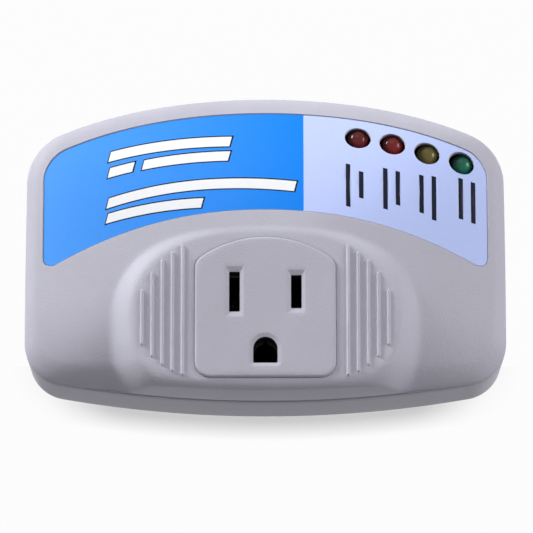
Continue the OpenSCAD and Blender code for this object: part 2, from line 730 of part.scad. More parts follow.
// Relay frame of reference: its middle lies above the socket
relay_gap = 7;
relay_z = slot_z + block_top_rise + relay_gap + relay_w / 2;
relay_wall = 0.7;
relay_base_t = 1.6;
relay_top_y = board_y - relay_h;
relay_base_y = board_y - relay_base_t;
coil_x = -relay_l / 4;
iron_t = 1;
bobbin_flange_t = 0.8;
pole_gap = 0.15;
blade_strip_t = 0.3;
rivet_t = 0.5;
rivet_d = 2.6;
fixed_rivet_t = 0.4;
armature_y = relay_top_y + relay_wall + slack + leaf_t + fixed_rivet_t + pole_gap + rivet_t
    + blade_strip_t + iron_t;
hinge = [relay_wall, armature_y];
rivet_x = relay_l / 4 + 1.5 * skin;
pole_y = armature_y + pole_gap;
relay_pin_xs = [relay_l / 2 - relay_wall - slack - leaf_t / 2,
    relay_l / 2 - relay_wall - slack - 5 * leaf_t, -relay_l / 2 + relay_wall + skin];
pin_w = 2;
module relay_base() color("black") {
    w = relay_w - 2 * relay_wall - 2 * fit;
    l = relay_l - 2 * relay_wall - 2 * fit;
    difference() {
        slab([0, relay_z], l, w, relay_base_y, board_y);
        for (x = relay_pin_xs)
            slab([x, relay_z], leaf_t + slack, pin_w + slack, relay_base_y - over, board_y + over);
    }
}
module relay_cover() color("steelblue") {
    difference() {
        slab([0, relay_z], relay_l, relay_w, relay_top_y, board_y - slack);
        slab([0, relay_z], relay_l - 2 * relay_wall, relay_w - 2 * relay_wall,
            relay_top_y + relay_wall, board_y + over);
    }
}
bobbin_room = 0.65;
bobbin_w = relay_w - 2 * relay_wall - 2 * bobbin_room;
core_d = 4;
winding_inset = 0.4;
winding_d = bobbin_w - 2 * winding_inset;
bobbin_tube_t = 0.6;
bobbin_low_y = relay_base_y - iron_t - fit;
bobbin_top_y = pole_y + iron_t / 2 + fit;
module relay_bobbin() color("ivory") {
    c = [coil_x, relay_z];
    difference() {
        union() {
            slab(c, bobbin_w, bobbin_w, bobbin_top_y, bobbin_top_y + bobbin_flange_t);
            slab(c, bobbin_w, bobbin_w, bobbin_low_y - bobbin_flange_t, bobbin_low_y);
            rod(c, bobbin_top_y, bobbin_low_y, core_d + 2 * fit + 2 * bobbin_tube_t);
        }
        rod(c, bobbin_top_y - over, bobbin_low_y + over, core_d + 2 * fit);
    }
}
module relay_winding() color("peru") {
    c = [coil_x, relay_z];
    y0 = bobbin_top_y + bobbin_flange_t + fit;
    y1 = bobbin_low_y - bobbin_flange_t - fit;
    difference() {
        rod(c, y0, y1, winding_d);
        rod(c, y0 - over, y1 + over, core_d + 4 * fit + 2 * bobbin_tube_t);
    }
}
module relay_yoke() color("slategray") {
    w = bobbin_w - 2 * slack;
    x0 = coil_x - bobbin_w / 2;
    translate([x0, relay_base_y - iron_t, relay_z - w / 2]) cube([hinge[0] - x0, iron_t, w]);
    translate([hinge[0] - iron_t, pole_y, relay_z - w / 2])
        cube([iron_t, relay_base_y - pole_y, w]);
    rod([coil_x, relay_z], pole_y, relay_base_y - iron_t / 2, core_d);
    rod([coil_x, relay_z], pole_y, pole_y + iron_t / 2, core_d + 2 * iron_t);
}
// The armature and its spring are drawn pulled in, and then tipped to their rest
module released() {
    translate([hinge[0], hinge[1], 0]) rotate([0, 0, swing])
        translate([-hinge[0], -hinge[1], 0]) children();
}
armature_inset = 0.5;
armature_w = bobbin_w - 2 * armature_inset;
spring_w = 4;
module relay_armature() color("slategray") released() {
    x0 = coil_x - bobbin_w / 2;
    translate([x0, armature_y - iron_t, relay_z - armature_w / 2])
        cube([hinge[0] + iron_t / 2 - x0, iron_t, armature_w]);
}
module relay_spring() color("goldenrod") released() {
    y1 = armature_y - iron_t;
    x1 = rivet_x + rivet_d / 2 + fit;
    translate([coil_x, y1 - blade_strip_t, relay_z - spring_w / 2])
        cube([x1 - coil_x, blade_strip_t, spring_w]);
    rod([rivet_x, relay_z], y1 - blade_strip_t - rivet_t, y1 + rivet_t, rivet_d);
}
open_rivet_y = armature_y - iron_t - blade_strip_t - rivet_t - running;
closed_rivet_y = armature_y - iron_t + rivet_t + running + (rivet_x - hinge[0]) * sin(swing)
    + rivet_d / 2 * sin(swing);
module fixed_contact(x, strip_y, rivet_y0, rivet_y1) {
    pressed([[rivet_x - rivet_d / 2, strip_y], [x, strip_y]], leaf_t, relay_z, spring_w);
    translate([x - leaf_t / 2, strip_y - leaf_t / 2, relay_z - pin_w / 2])
        cube([leaf_t, board_back_y + lead_stub - strip_y + leaf_t / 2, pin_w]);
    rod([rivet_x, relay_z], rivet_y0, rivet_y1, rivet_d);
}
module relay_open_contact() color("goldenrod") {
    y = open_rivet_y - fixed_rivet_t - leaf_t / 2;
    fixed_contact(relay_pin_xs[0], y, y, open_rivet_y);
}
module relay_closed_contact() color("goldenrod") {
    y = closed_rivet_y + fixed_rivet_t + leaf_t / 2;
    fixed_contact(relay_pin_xs[1], y, closed_rivet_y, y);
}

// Dropper capacitor: box capacitor that stands on the board
cap_gap = 1.3;
cap_l = 18;
cap_w = 7;
cap_h = 12;
cap_edge = 0.6;
module dropper_capacitor() color("gold") {
    p = [-block_w / 2 - cap_gap - cap_l / 2, relay_z - relay_w / 2 - cap_gap - cap_w / 2];
    difference() {
        slab(p, cap_l, cap_w, board_y - cap_h, board_y);
        slab(p, cap_l - 4 * cap_edge, cap_w - 2 * cap_edge, board_y - cap_edge, board_y + over);
    }
}

// Varistor: coated disc on edge, on two leads
varistor_at_share = [0.251, 0.375];
varistor_d = 14;
varistor_t = 4.5;
varistor_stand = 1;
varistor_lead_gap = 7.5;
module varistor() color("royalblue") {
    p = place(varistor_at_share);
    translate([p[0], board_y - varistor_stand - varistor_d / 2, p[1]])
        cylinder(h = varistor_t, d = varistor_d, center = true);
    for (side = [-1, 1])
        rod(p + [side * varistor_lead_gap / 2, 0], board_y - varistor_stand - varistor_d / 4,
            board_y, tail_t);
}

// Smoothing capacitor: aluminium can with a rolled groove
can_at_share = [0.241, 0.2];
can_d = 8;
can_h = 11.5;
can_groove = 0.4;
module smoothing_capacitor() color("darkslateblue") {
    p = place(can_at_share);
    rod(p, board_y - can_h, board_y - 4 * can_groove, can_d);
    rod(p, board_y - 4 * can_groove - fit, board_y - 2 * can_groove, can_d - 2 * can_groove);
    rod(p, board_y - 2 * can_groove - fit, board_y, can_d);
}

// Fuse: round radial fuse with a raised cap
fuse_at_share = [-0.226, 0.215];
fuse_d = 8.4;
fuse_h = 8;
module fuse() color("saddlebrown") {
    p = place(fuse_at_share);
    rod(p, board_y - fuse_h, board_y, fuse_d);
    rod(p, board_y - fuse_h - cap_edge, board_y - fuse_h / 2, fuse_d - 4 * cap_edge);
}

// Comparator chip: dual in-line package with fourteen legs
chip_gap = 2.1;
chip_height_share = 0.835;
chip_l = 19;
chip_w = 6.4;
chip_t = 3.3;
chip_stand = 0.5;
chip_leg_t = 0.3;
chip_leg_w = 0.5;
chip_notch_d = 2;
module comparator_chip() color("black") {
    p = place([0, chip_height_share]) - [board_screw_head_d / 2 + chip_gap + chip_l / 2, 0];
    difference() {
        slab(p, chip_l, chip_w, board_y - chip_stand - chip_t, board_y - chip_stand);
        rod(p - [chip_l / 2, 0], board_y - chip_stand - chip_t - over,
            board_y - chip_t, chip_notch_d);
    }
    for (i = [-3:3], side = [-1, 1])
        slab(p + [i * lead_gap, side * (chip_w + chip_leg_t) / 2], chip_leg_w, chip_leg_t + fit,
            board_y - chip_stand - chip_t / 2, board_y);
}

// Axial parts: body lying along Z with its two bent leads, in rows beside the relay
row_gap = 3.4;
row_x = relay_l / 2 + row_gap;
module axial_part(p, d, l, span) {
    y = board_y - d / 2 - slack;
    translate([p[0], y, p[1] - l / 2]) cylinder(h = l, d = d);
    translate([p[0], y, p[1] - span / 2]) cylinder(h = span, d = lead_t);
    for (side = [-1, 1])
        rod(p + [0, side * (span / 2 - lead_t)], y, board_y, lead_t + fit);
}
diode_height_share = 0.53;
diode_d = 2.7;
diode_l = 5.2;
diode_span = 9;
diode_pitch = 3.6;
module rectifier_diodes() color("darkslategray") {
    for (i = [0:3])
        axial_part(place([0, diode_height_share]) + [row_x + i * diode_pitch, 0],
            diode_d, diode_l, diode_span);
}
resistor_height_share = 0.695;
resistor_d = 2.4;
resistor_l = 6.3;
resistor_span = 10;
resistor_pitch = 3.6;
module resistors() color("peru") {
    for (i = [0:4])
        axial_part(place([0, resistor_height_share]) + [row_x + i * resistor_pitch, 0],
            resistor_d, resistor_l, resistor_span);
}

// Trimmers: square body with a slotted rotor sunk in its front
trim_gap = 2.75;
trim_x = -board_screw_head_d / 2 - chip_gap - chip_l - trim_gap - trim_w / 2;
low_trim_share = 0.795;
high_trim_share = 0.67;
function trim_place(share) = place([0, share]) + [trim_x, 0];
trim_h = 4.8;
rotor_t = 0.9;
rotor_slot = 0.6;
module trimmer_body(p) {
    difference() {
        slab(p, trim_w, trim_w, board_y - trim_h, board_y);
        rod(p, board_y - trim_h - over, board_y - trim_h + rotor_t + running,
            trim_rotor_d + 2 * running);
    }
}
module trimmer_rotor(p) {
    y = board_y - trim_h;
    difference() {
        rod(p, y, y + rotor_t, trim_rotor_d);
        slab(p, rotor_slot, trim_rotor_d + over, y - over, y + rotor_t / 2);
        slab(p, trim_rotor_d / 2, rotor_slot, y - over, y + rotor_t / 2);
    }
}
module low_trimmer_body() color("navy") trimmer_body(trim_place(low_trim_share));
module low_trimmer_rotor() color("white") trimmer_rotor(trim_place(low_trim_share));
module high_trimmer_body() color("navy") trimmer_body(trim_place(high_trim_share));
module high_trimmer_rotor() color("white") trimmer_rotor(trim_place(high_trim_share));

// Screws: pan heads with a cross recess
recess_w = 0.6;
recess_l_share = 0.6;
module screw(p, seat_y, head_d, head_h, shank_d, l, side) {
    y0 = side > 0 ? seat_y : seat_y - head_h;
    y1 = side > 0 ? seat_y + head_h : seat_y;
    difference() {
        rod(p, y0, y1, head_d);
        for (s = [[recess_l_share * head_d, recess_w], [recess_w, recess_l_share * head_d]])
            slab(p, s[0], s[1], side > 0 ? y1 - head_h / 2 : y0 - over,
                side > 0 ? y1 + over : y0 + head_h / 2);
    }
    rod(p, side > 0 ? seat_y - l : seat_y - fit, side > 0 ? seat_y + fit : seat_y + l, shank_d);
}
module housing_screws() color("dimgray") {
    for (p = screw_places)
        screw(p, screw_seat_y, screw_head_d, screw_head_h, screw_d - 2 * slack, screw_l, 1);
}
module board_screws() color("dimgray") {
    l = board_screw_end_y - board_y - slack;
    for (p = board_screw_places)
        screw(p, board_y, board_screw_head_d, board_screw_head_h, board_screw_d - slack, l, -1);
}

front_housing();
socket_face();
rear_housing();
label_sheet();
led_low_voltage();
led_high_voltage();
led_wait();
led_normal();
led_leads();
circuit_board();
contact_block();
socket_hot_contact();
socket_neutral_contact();
socket_ground_contact();
plug_hot_blade();
plug_neutral_blade();
plug_ground_pin();
blade_retainer();
relay_base();
relay_cover();
relay_bobbin();
relay_winding();
relay_yoke();
relay_armature();
relay_spring();
relay_open_contact();
relay_closed_contact();
dropper_capacitor();
varistor();
smoothing_capacitor();
fuse();
comparator_chip();
rectifier_diodes();
resistors();
low_trimmer_body();
low_trimmer_rotor();
high_trimmer_body();
high_trimmer_rotor();
housing_screws();
board_screws();
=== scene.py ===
import math

import bpy
import numpy as np
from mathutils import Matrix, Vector
from mathutils.geometry import delaunay_2d_cdt
from mathutils.kdtree import KDTree


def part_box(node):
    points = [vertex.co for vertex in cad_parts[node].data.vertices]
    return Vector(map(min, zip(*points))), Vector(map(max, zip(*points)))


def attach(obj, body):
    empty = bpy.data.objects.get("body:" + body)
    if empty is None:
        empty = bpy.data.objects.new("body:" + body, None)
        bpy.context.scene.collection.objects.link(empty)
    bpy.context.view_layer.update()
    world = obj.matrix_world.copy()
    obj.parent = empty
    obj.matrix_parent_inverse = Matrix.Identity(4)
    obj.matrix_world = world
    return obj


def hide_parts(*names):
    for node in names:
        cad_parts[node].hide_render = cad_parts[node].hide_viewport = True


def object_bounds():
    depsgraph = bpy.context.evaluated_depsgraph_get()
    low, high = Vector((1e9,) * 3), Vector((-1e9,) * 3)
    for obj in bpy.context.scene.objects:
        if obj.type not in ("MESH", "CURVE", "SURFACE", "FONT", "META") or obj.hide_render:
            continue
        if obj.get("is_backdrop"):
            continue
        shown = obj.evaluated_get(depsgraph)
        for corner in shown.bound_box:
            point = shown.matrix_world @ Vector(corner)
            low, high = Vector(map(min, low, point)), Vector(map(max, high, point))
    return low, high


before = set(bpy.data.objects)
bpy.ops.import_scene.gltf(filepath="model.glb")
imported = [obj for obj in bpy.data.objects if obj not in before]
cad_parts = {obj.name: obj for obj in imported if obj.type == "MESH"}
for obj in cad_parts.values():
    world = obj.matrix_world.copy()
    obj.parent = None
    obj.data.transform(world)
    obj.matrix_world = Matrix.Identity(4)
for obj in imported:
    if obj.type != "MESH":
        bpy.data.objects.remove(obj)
cad_low, cad_high = (list(corner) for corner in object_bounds())
MM = 0.001

# Camera. The protector is seen straight on and from a little below, through a long lens.
# The middle of the two slots lies below and a little left of the picture's middle.
PICTURE_PX = 533
SLOT_MIDDLE_PX = (265.4, 291.1)
PX_PER_MM = 4.874
CAMERA_DISTANCE = 1.2
CAMERA_DROP = math.radians(14)
SENSOR = 36
CLIP_NEAR, CLIP_FAR = 0.01, 20
face_low, face_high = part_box("socket_face")
contact_low, contact_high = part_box("socket_hot_contact")
SLOT_Z = (contact_low.z + contact_high.z) / 2
toward = Vector((0, math.cos(CAMERA_DROP), math.sin(CAMERA_DROP)))
upward = Vector((0, -math.sin(CAMERA_DROP), math.cos(CAMERA_DROP)))
shift_right = (PICTURE_PX / 2 - SLOT_MIDDLE_PX[0]) / PX_PER_MM * MM
shift_up = (SLOT_MIDDLE_PX[1] - PICTURE_PX / 2) / PX_PER_MM * MM
aim = Vector((shift_right, face_low.y, SLOT_Z)) + upward * shift_up


def linked(name, data):
    """A new object in the scene."""
    made = bpy.data.objects.new(name, data)
    bpy.context.scene.collection.objects.link(made)
    return made


camera_data = bpy.data.cameras.new("camera")
camera = linked("camera", camera_data)
camera_data.sensor_width = SENSOR
camera_data.lens = SENSOR * CAMERA_DISTANCE / (PICTURE_PX / PX_PER_MM * MM)
camera_data.clip_start = CLIP_NEAR
camera_data.clip_end = CLIP_FAR
camera.location = aim - toward * CAMERA_DISTANCE
camera.rotation_euler = (math.pi / 2 + CAMERA_DROP, 0, 0)
bpy.context.scene.camera = camera

# Studio. A pale sheet hangs behind the protector and a pale floor lies below it.
# Both are clear from their back, so that no other view is blocked.
WALL_GAP, WALL_SIZE, FLOOR_DROP = 0.012, 4, 0.6
PAPER_TINT, PAPER_GLOW = (0.3, 0.3, 0.305), 0.97
WHITE = (1, 1, 1, 1)


def empty_tree(owner):
    """Empty the nodes of a material or a world, and return a function that adds one.

    It takes the node's kind, a value, a socket or a node for each input, and its settings."""
    owner.use_nodes = True
    nodes, links = owner.node_tree.nodes, owner.node_tree.links
    nodes.clear()

    def add(kind, inputs=None, **settings):
        node = nodes.new("ShaderNode" + kind)
        for name, value in settings.items():
            setattr(node, name, value)
        for name, value in (inputs or {}).items():
            if isinstance(value, bpy.types.Node):
                value = value.outputs[0]
            if isinstance(value, bpy.types.NodeSocket):
                links.new(value, node.inputs[name])
            else:
                node.inputs[name].default_value = value
        return node

    return add


def new_material(name):
    """An empty material and the function that adds a node to it."""
    made = bpy.data.materials.new(name)
    return made, empty_tree(made)


def combined(add, operation, *values):
    """One number from several, by the same operation between each two."""
    total = values[0]
    for value in values[1:]:
        total = add("Math", {0: total, 1: value}, operation=operation)
    return total


def background_rays(add):
    """One for rays from the camera, a reflection or a clear body, and nothing for others."""
    path = add("LightPath")
    kinds = ("Is Camera Ray", "Is Glossy Ray", "Is Transmission Ray")
    return combined(add, "MAXIMUM", *[path.outputs[kind] for kind in kinds])


def stage_material(name):
    """Matte paper that shows the background's white to the camera and keeps the shadow."""
    made, add = new_material(name)
    paper = add("BsdfDiffuse", {"Color": (*PAPER_TINT, 1)})
    light = add("Emission", {"Color": WHITE})
    share = combined(add, "MULTIPLY", background_rays(add), PAPER_GLOW)
    front = add("MixShader", {0: share, 1: paper, 2: light})
    behind = add("NewGeometry").outputs["Backfacing"]
    sheet = add("MixShader", {0: behind, 1: front, 2: add("BsdfTransparent")})
    add("OutputMaterial", {"Surface": sheet})
    return made


for name, place, turn in (
    ("backdrop", (0, cad_high[1] + WALL_GAP, 0), (math.pi / 2, 0, 0)),
    ("floor", (0, 0, cad_low[2] - FLOOR_DROP), (0, 0, 0)),
):
    bpy.ops.mesh.primitive_plane_add(size=WALL_SIZE, location=place, rotation=turn)
    sheet = bpy.context.object
    sheet.name = name
    sheet.data.materials.append(stage_material(name + "_paper"))
    sheet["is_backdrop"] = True

# Shadow card. A clear card just behind the housing's lower edge carries the soft shadow of
# that edge. It is dark close to the housing and fades out towards both corners.
CARD_Y, CARD_LOW, CARD_HIGH, CARD_HALF_W = 0.0004, -0.022, 0.004, 0.056
SHADOW_REACH, SHADOW_TINT = 0.0055, (0.1, 0.1, 0.1, 1)
bpy.ops.mesh.primitive_plane_add(size=1, rotation=(math.pi / 2, 0, 0))
card = bpy.context.object
card.name = "shadow_card"
card.scale = (2 * CARD_HALF_W, CARD_HIGH - CARD_LOW, 1)
bpy.ops.object.transform_apply(location=False, rotation=True, scale=True)
card.location = (0, CARD_Y, (CARD_LOW + CARD_HIGH) / 2)
bpy.ops.object.transform_apply(location=True)
shade, add = new_material("shadow_card")
near = add("AmbientOcclusion", {"Distance": SHADOW_REACH}, samples=16).outputs["AO"]
depth = add("MapRange", {"Value": near, "From Min": 1, "From Max": 0.55, "To Max": 0.45})
card_x = add("SeparateXYZ", {0: add("TexCoord").outputs["Object"]})
fade = add("MapRange", {
    "Value": add("Math", {0: card_x}, operation="ABSOLUTE"),
    "From Min": 0.03, "From Max": 0.048, "To Min": 1, "To Max": 0.12,
}, interpolation_type="SMOOTHSTEP")
behind = add("NewGeometry").outputs["Backfacing"]
facing = add("Math", {0: 1, 1: behind}, operation="SUBTRACT")
seen = add("LightPath").outputs["Is Camera Ray"]
amount = combined(add, "MULTIPLY", depth, fade, facing, seen)
dark = add("Emission", {"Color": SHADOW_TINT})
shadow = add("MixShader", {0: amount, 1: add("BsdfTransparent"), 2: dark})
add("OutputMaterial", {"Surface": shadow})
card.data.materials.append(shade)
card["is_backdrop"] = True

# Light. White surroundings, which light the protector less than they show, and four soft
# boxes: the key light and a fill from the left, one from above and one from the right.
WORLD_LIGHT = 0.47
world = bpy.data.worlds.new("studio")
bpy.context.scene.world = world
add = empty_tree(world)
strength = combined(add, "MAXIMUM", background_rays(add), WORLD_LIGHT)
add("OutputWorld", {"Surface": add("Background", {"Color": WHITE, "Strength": strength})})


def lamp(name, place, size, watts):
    """A soft box that faces the middle of the protector."""
    data = bpy.data.lights.new(name, "AREA")
    data.shape = "RECTANGLE"
    data.size, data.size_y = size
    data.energy = watts
    made = linked(name, data)
    made.location = place
    made.rotation_euler = (aim - Vector(place)).to_track_quat("-Z", "Y").to_euler()


lamp("key_light", (-1.05, -0.42, 0.85), (0.4, 0.4), 17)
lamp("left_light", (-1.2, -0.4, 0.9), (0.6, 0.6), 5)
lamp("top_light", (-0.1, -0.9, 0.9), (0.8, 0.5), 1.2)
lamp("right_light", (1.1, -0.5, 0.25), (0.6, 0.6), 8)

# Front housing. One injection moulding in lavender-grey plastic with a fine satin texture:
# a domed face with an oval platform and ten ribs, a recess for the label, holes for the
# lamps and a window for the socket face. Four screws pull it onto the rear housing.
WALL, DRAFT = 2.0, 0.5
TOP_R, LOW_R, SIDE_R = 122.0, 246.0, 2200.0
TOP_CORNER_R, LOW_CORNER_R, OUTLINE_STEP = 11.4, 8.8, 0.6
front_low, front_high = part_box("front_housing")
HALF_W = front_high.x / MM
TOP_Z, LOW_Z = front_high.z / MM, front_low.z / MM
RIB_H = 0.5
PLATFORM_Y = front_low.y / MM + RIB_H
SLOT_MM = SLOT_Z / MM
PARTING_Y = -18.0


def curve(centre, radius, turns):
    """Points of a circle, or of an oval where the radius is a pair, in millimetres."""
    return np.array(centre) + radius * np.stack([np.cos(turns), np.sin(turns)], 1)


def arc(centre, radius, start, end):
    """Points along an arc in the XZ plane, without the last one."""
    count = max(3, int(abs(end - start) * radius / OUTLINE_STEP))
    return curve(centre, radius, start + (end - start) * np.arange(count) / count)


def meet(c0, r0, c1, r1, side):
    """The point where two circles meet, on one side of the line through their middles."""
    c0, c1 = np.array(c0, float), np.array(c1, float)
    apart = np.linalg.norm(c1 - c0)
    u = (c1 - c0) / apart
    along = (r0 * r0 - r1 * r1 + apart * apart) / (2 * apart)
    across = math.sqrt(max(0, r0 * r0 - along * along))
    return c0 + along * u + side * across * np.array([-u[1], u[0]])


def bearing(centre, point):
    """The turn at which a point lies from a centre."""
    return math.atan2(point[1] - centre[1], point[0] - centre[0])


TOP_C = (0, TOP_Z - TOP_R)
LOW_C = (0, LOW_Z + LOW_R)
SIDE_C = (HALF_W - SIDE_R, SLOT_MM - 2 * WALL)
TOP_CORNER = meet(TOP_C, TOP_R - TOP_CORNER_R, SIDE_C, SIDE_R - TOP_CORNER_R, -1)
LOW_CORNER = meet(LOW_C, LOW_R - LOW_CORNER_R, SIDE_C, SIDE_R - LOW_CORNER_R, 1)


def mirrored_loop(right):
    """A loop from its right half, which runs down from the top middle to the low middle."""
    left = right[1:-1][::-1] * np.array([-1, 1])
    return np.concatenate([right, left])[::-1].copy()


def outline(inset):
    """The housing's outline drawn in by an inset, anticlockwise as seen from the front."""
    a1, a2 = bearing(TOP_C, TOP_CORNER), bearing(SIDE_C, TOP_CORNER)
    a3, a4 = bearing(SIDE_C, LOW_CORNER), bearing(LOW_C, LOW_CORNER)
    right = np.concatenate([
        arc(TOP_C, TOP_R - inset, math.pi / 2, a1),
        arc(TOP_CORNER, TOP_CORNER_R - inset, a1, a2),
        arc(SIDE_C, SIDE_R - inset, a2, a3),
        arc(LOW_CORNER, LOW_CORNER_R - inset, a3, a4),
        arc(LOW_C, LOW_R - inset, a4, -math.pi / 2),
        [[0, LOW_Z + inset]],
    ])
    return mirrored_loop(right)


# The face falls back from the platform to the edge, then rounds over into the wall.
EDGE_FALL = 10.0
FALL_POWER, FALL_NORM = 2.2, 4.0
DOME_SHARE = 0.405
DOME_Z = LOW_Z + DOME_SHARE * (TOP_Z - LOW_Z)
PLATFORM_A, PLATFORM_RISE, PLATFORM_PAST = 26.4, 12.3, 3.3
PLATFORM_Z = (SLOT_MM + PLATFORM_RISE + LOW_Z - PLATFORM_PAST) / 2
PLATFORM_B = SLOT_MM + PLATFORM_RISE - PLATFORM_Z
PLATFORM_POWER, PLATFORM_BLEND = 2.5, 6.2
BLEND_TOP_SHARE, LOW_BLEND = 0.35, 1.6
FACE_ROUND, LOW_FACE_ROUND, MIDDLE_ROUND = 2.6, 5.0, 2.1
ROUND_FROM, ROUND_OVER = 14, 22
EDGE_DROP_SHARE, RING_CLEAR = 0.7, 0.3
middle = np.array([0, PLATFORM_Z])
rim = outline(0)
rim_turn = np.arctan2(rim[:, 1] - PLATFORM_Z, rim[:, 0])
rim_reach = np.linalg.norm(rim - middle, axis=1)


def fall(p):
    """How far the plain dome lies behind the platform's level at each point."""
    dz = p[:, 1] - DOME_Z
    height = np.where(dz > 0, TOP_Z - DOME_Z, DOME_Z - LOW_Z)
    out = (np.abs(p[:, 0]) / HALF_W) ** FALL_NORM + (np.abs(dz) / height) ** FALL_NORM
    return EDGE_FALL * out ** (FALL_POWER / FALL_NORM)


def inside(p, loop):
    """Which points lie inside a closed loop."""
    found = np.zeros(len(p), bool)
    x, z = p[:, 0], p[:, 1]
    for (x0, z0), (x1, z1) in zip(loop, np.roll(loop, -1, 0)):
        crosses = (z0 > z) != (z1 > z)
        if crosses.any():
            found ^= crosses & (x < (x1 - x0) * (z - z0) / (z1 - z0 + 1e-30) + x0)
    return found


def signed_gap(p, loop):
    """Distance from each point to a closed loop, negative inside."""
    a, b = loop, np.roll(loop, -1, 0)
    d = b - a
    nearest = np.full(len(p), 1e9)
    for i in range(len(a)):
        w = p - a[i]
        t = np.clip((w @ d[i]) / (d[i] @ d[i] + 1e-30), 0, 1)
        nearest = np.minimum(nearest, np.hypot(*(w - t[:, None] * d[i]).T))
    return np.where(inside(p, loop), -nearest, nearest)


def soft(g):
    """A step from 0 to 1 with soft ends."""
    g = np.clip(g, 0, 1)
    return g * g * (3 - 2 * g)


def very_soft(g):
    """The same with still softer ends."""
    g = np.clip(g, 0, 1)
    return g ** 3 * (g * (6 * g - 15) + 10)


def ray(p):
    """What the face needs along the ray from the platform's middle through each point."""
    d = p - middle
    t = np.maximum(np.linalg.norm(d, axis=1), 1e-6)
    u = d / t[:, None]
    reach = np.interp(np.arctan2(d[:, 1], d[:, 0]), rim_turn, rim_reach, period=2 * math.pi)
    start = ((np.abs(u[:, 0]) / PLATFORM_A) ** PLATFORM_POWER
             + (np.abs(u[:, 1]) / PLATFORM_B) ** PLATFORM_POWER) ** (-1 / PLATFORM_POWER)
    edge = middle + u * reach[:, None]
    low = np.clip((SLOT_MM - edge[:, 1]) / (SLOT_MM - LOW_Z), 0, 1)
    outward = soft((np.abs(edge[:, 0]) - ROUND_FROM) / ROUND_OVER)
    low_round = MIDDLE_ROUND + (LOW_FACE_ROUND - MIDDLE_ROUND) * outward
    rounding = FACE_ROUND + (low_round - FACE_ROUND) * low
    sideways = np.abs(u[:, 0]) ** 3
    sideways = np.where(u[:, 1] > 0, sideways, 1 + LOW_BLEND * (1 - sideways))
    band = PLATFORM_BLEND * (BLEND_TOP_SHARE + (1 - BLEND_TOP_SHARE) * sideways)
    return t, u, reach, start, rounding, band


def face_y(p):
    """How far back the smooth face lies at each point, in millimetres."""
    t, u, reach, start, rounding, band = ray(p)
    y = PLATFORM_Y + very_soft((t - start) / band) * fall(p)
    room = EDGE_DROP_SHARE * (PARTING_Y - y)
    q = np.clip(1 + signed_gap(p, rim) / rounding, 0, 1)
    return y + np.minimum(rounding, room) * (1 - np.sqrt(1 - q * q))


def closed(loop):
    """A loop as a line that ends where it starts."""
    return np.concatenate([loop, loop[:1]])


def resampled(loop, step):
    """A closed loop with even spacing."""
    line = closed(loop)
    length = np.concatenate([[0], np.cumsum(np.linalg.norm(np.diff(line, axis=0), axis=1))])
    at = np.linspace(0, length[-1], max(8, int(length[-1] / step)), endpoint=False)
    return np.stack([np.interp(at, length, line[:, i]) for i in (0, 1)], 1)


def offset(loop, distance):
    """A closed anticlockwise loop moved outwards."""
    along = np.roll(loop, -1, 0) - np.roll(loop, 1, 0)
    along /= np.linalg.norm(along, axis=1)[:, None]
    return loop + distance * np.stack([along[:, 1], -along[:, 0]], 1)


def grid(loop, step):
    """Points in an even triangular pattern over a loop's box."""
    low, high = loop.min(0), loop.max(0)
    rows = np.arange(low[1], high[1], step * math.sqrt(3) / 2)
    starts = [low[0] + (i % 2) * step / 2 for i in range(len(rows))]
    columns = [np.arange(start, high[0], step) for start in starts]
    return np.concatenate([np.column_stack([x, np.full(len(x), z)]) for x, z in zip(columns, rows)])


def spread(taken, *groups):
    """The points of several groups that keep clear of the taken ones and of earlier groups.

    Each group is its points and how far they keep clear."""
    kept = []
    for points, gap in groups:
        known = np.concatenate([taken] + kept)
        tree = KDTree(len(known))
        for i, (x, z) in enumerate(known):
            tree.insert((x, z, 0), i)
        tree.balance()
        far = [tree.find((x, z, 0))[2] > gap for x, z in points]
        kept.append(points[np.array(far, bool)])
    return np.concatenate(kept)


def on_face(p, loops):
    """Which points lie inside the first loop and outside its holes, the other loops."""
    found = inside(p, loops[0])
    for hole in loops[1:]:
        found &= ~inside(p, hole)
    return found


def triangulated(loops, points, creases):
    """Triangles over the area between an outer loop and its holes, with edges along creases.

    Returns the 2D points, the triangles and, for each loop, the numbers of its points."""
    firsts = np.cumsum([0] + [len(loop) for loop in loops])
    rings = [list(range(first, end)) for first, end in zip(firsts, firsts[1:])]
    edges = [edge for ring in rings for edge in zip(ring, ring[1:] + ring[:1])]
    all_points = np.concatenate([*loops, points[on_face(points, loops)]])
    for crease in creases:
        first = len(all_points)
        edges += [(first + i, first + i + 1) for i in range(len(crease) - 1)]
        all_points = np.concatenate([all_points, crease])
    made = delaunay_2d_cdt([Vector(p) for p in all_points], edges, [], 0, 1e-6, True)
    flat = np.array([tuple(v) for v in made[0]])
    number = {old: new for new, olds in enumerate(made[3]) for old in olds}
    faces = np.array(made[2])
    faces = faces[on_face(flat[faces].mean(1), loops)]
    return flat, faces, [[number[i] for i in ring] for ring in rings]


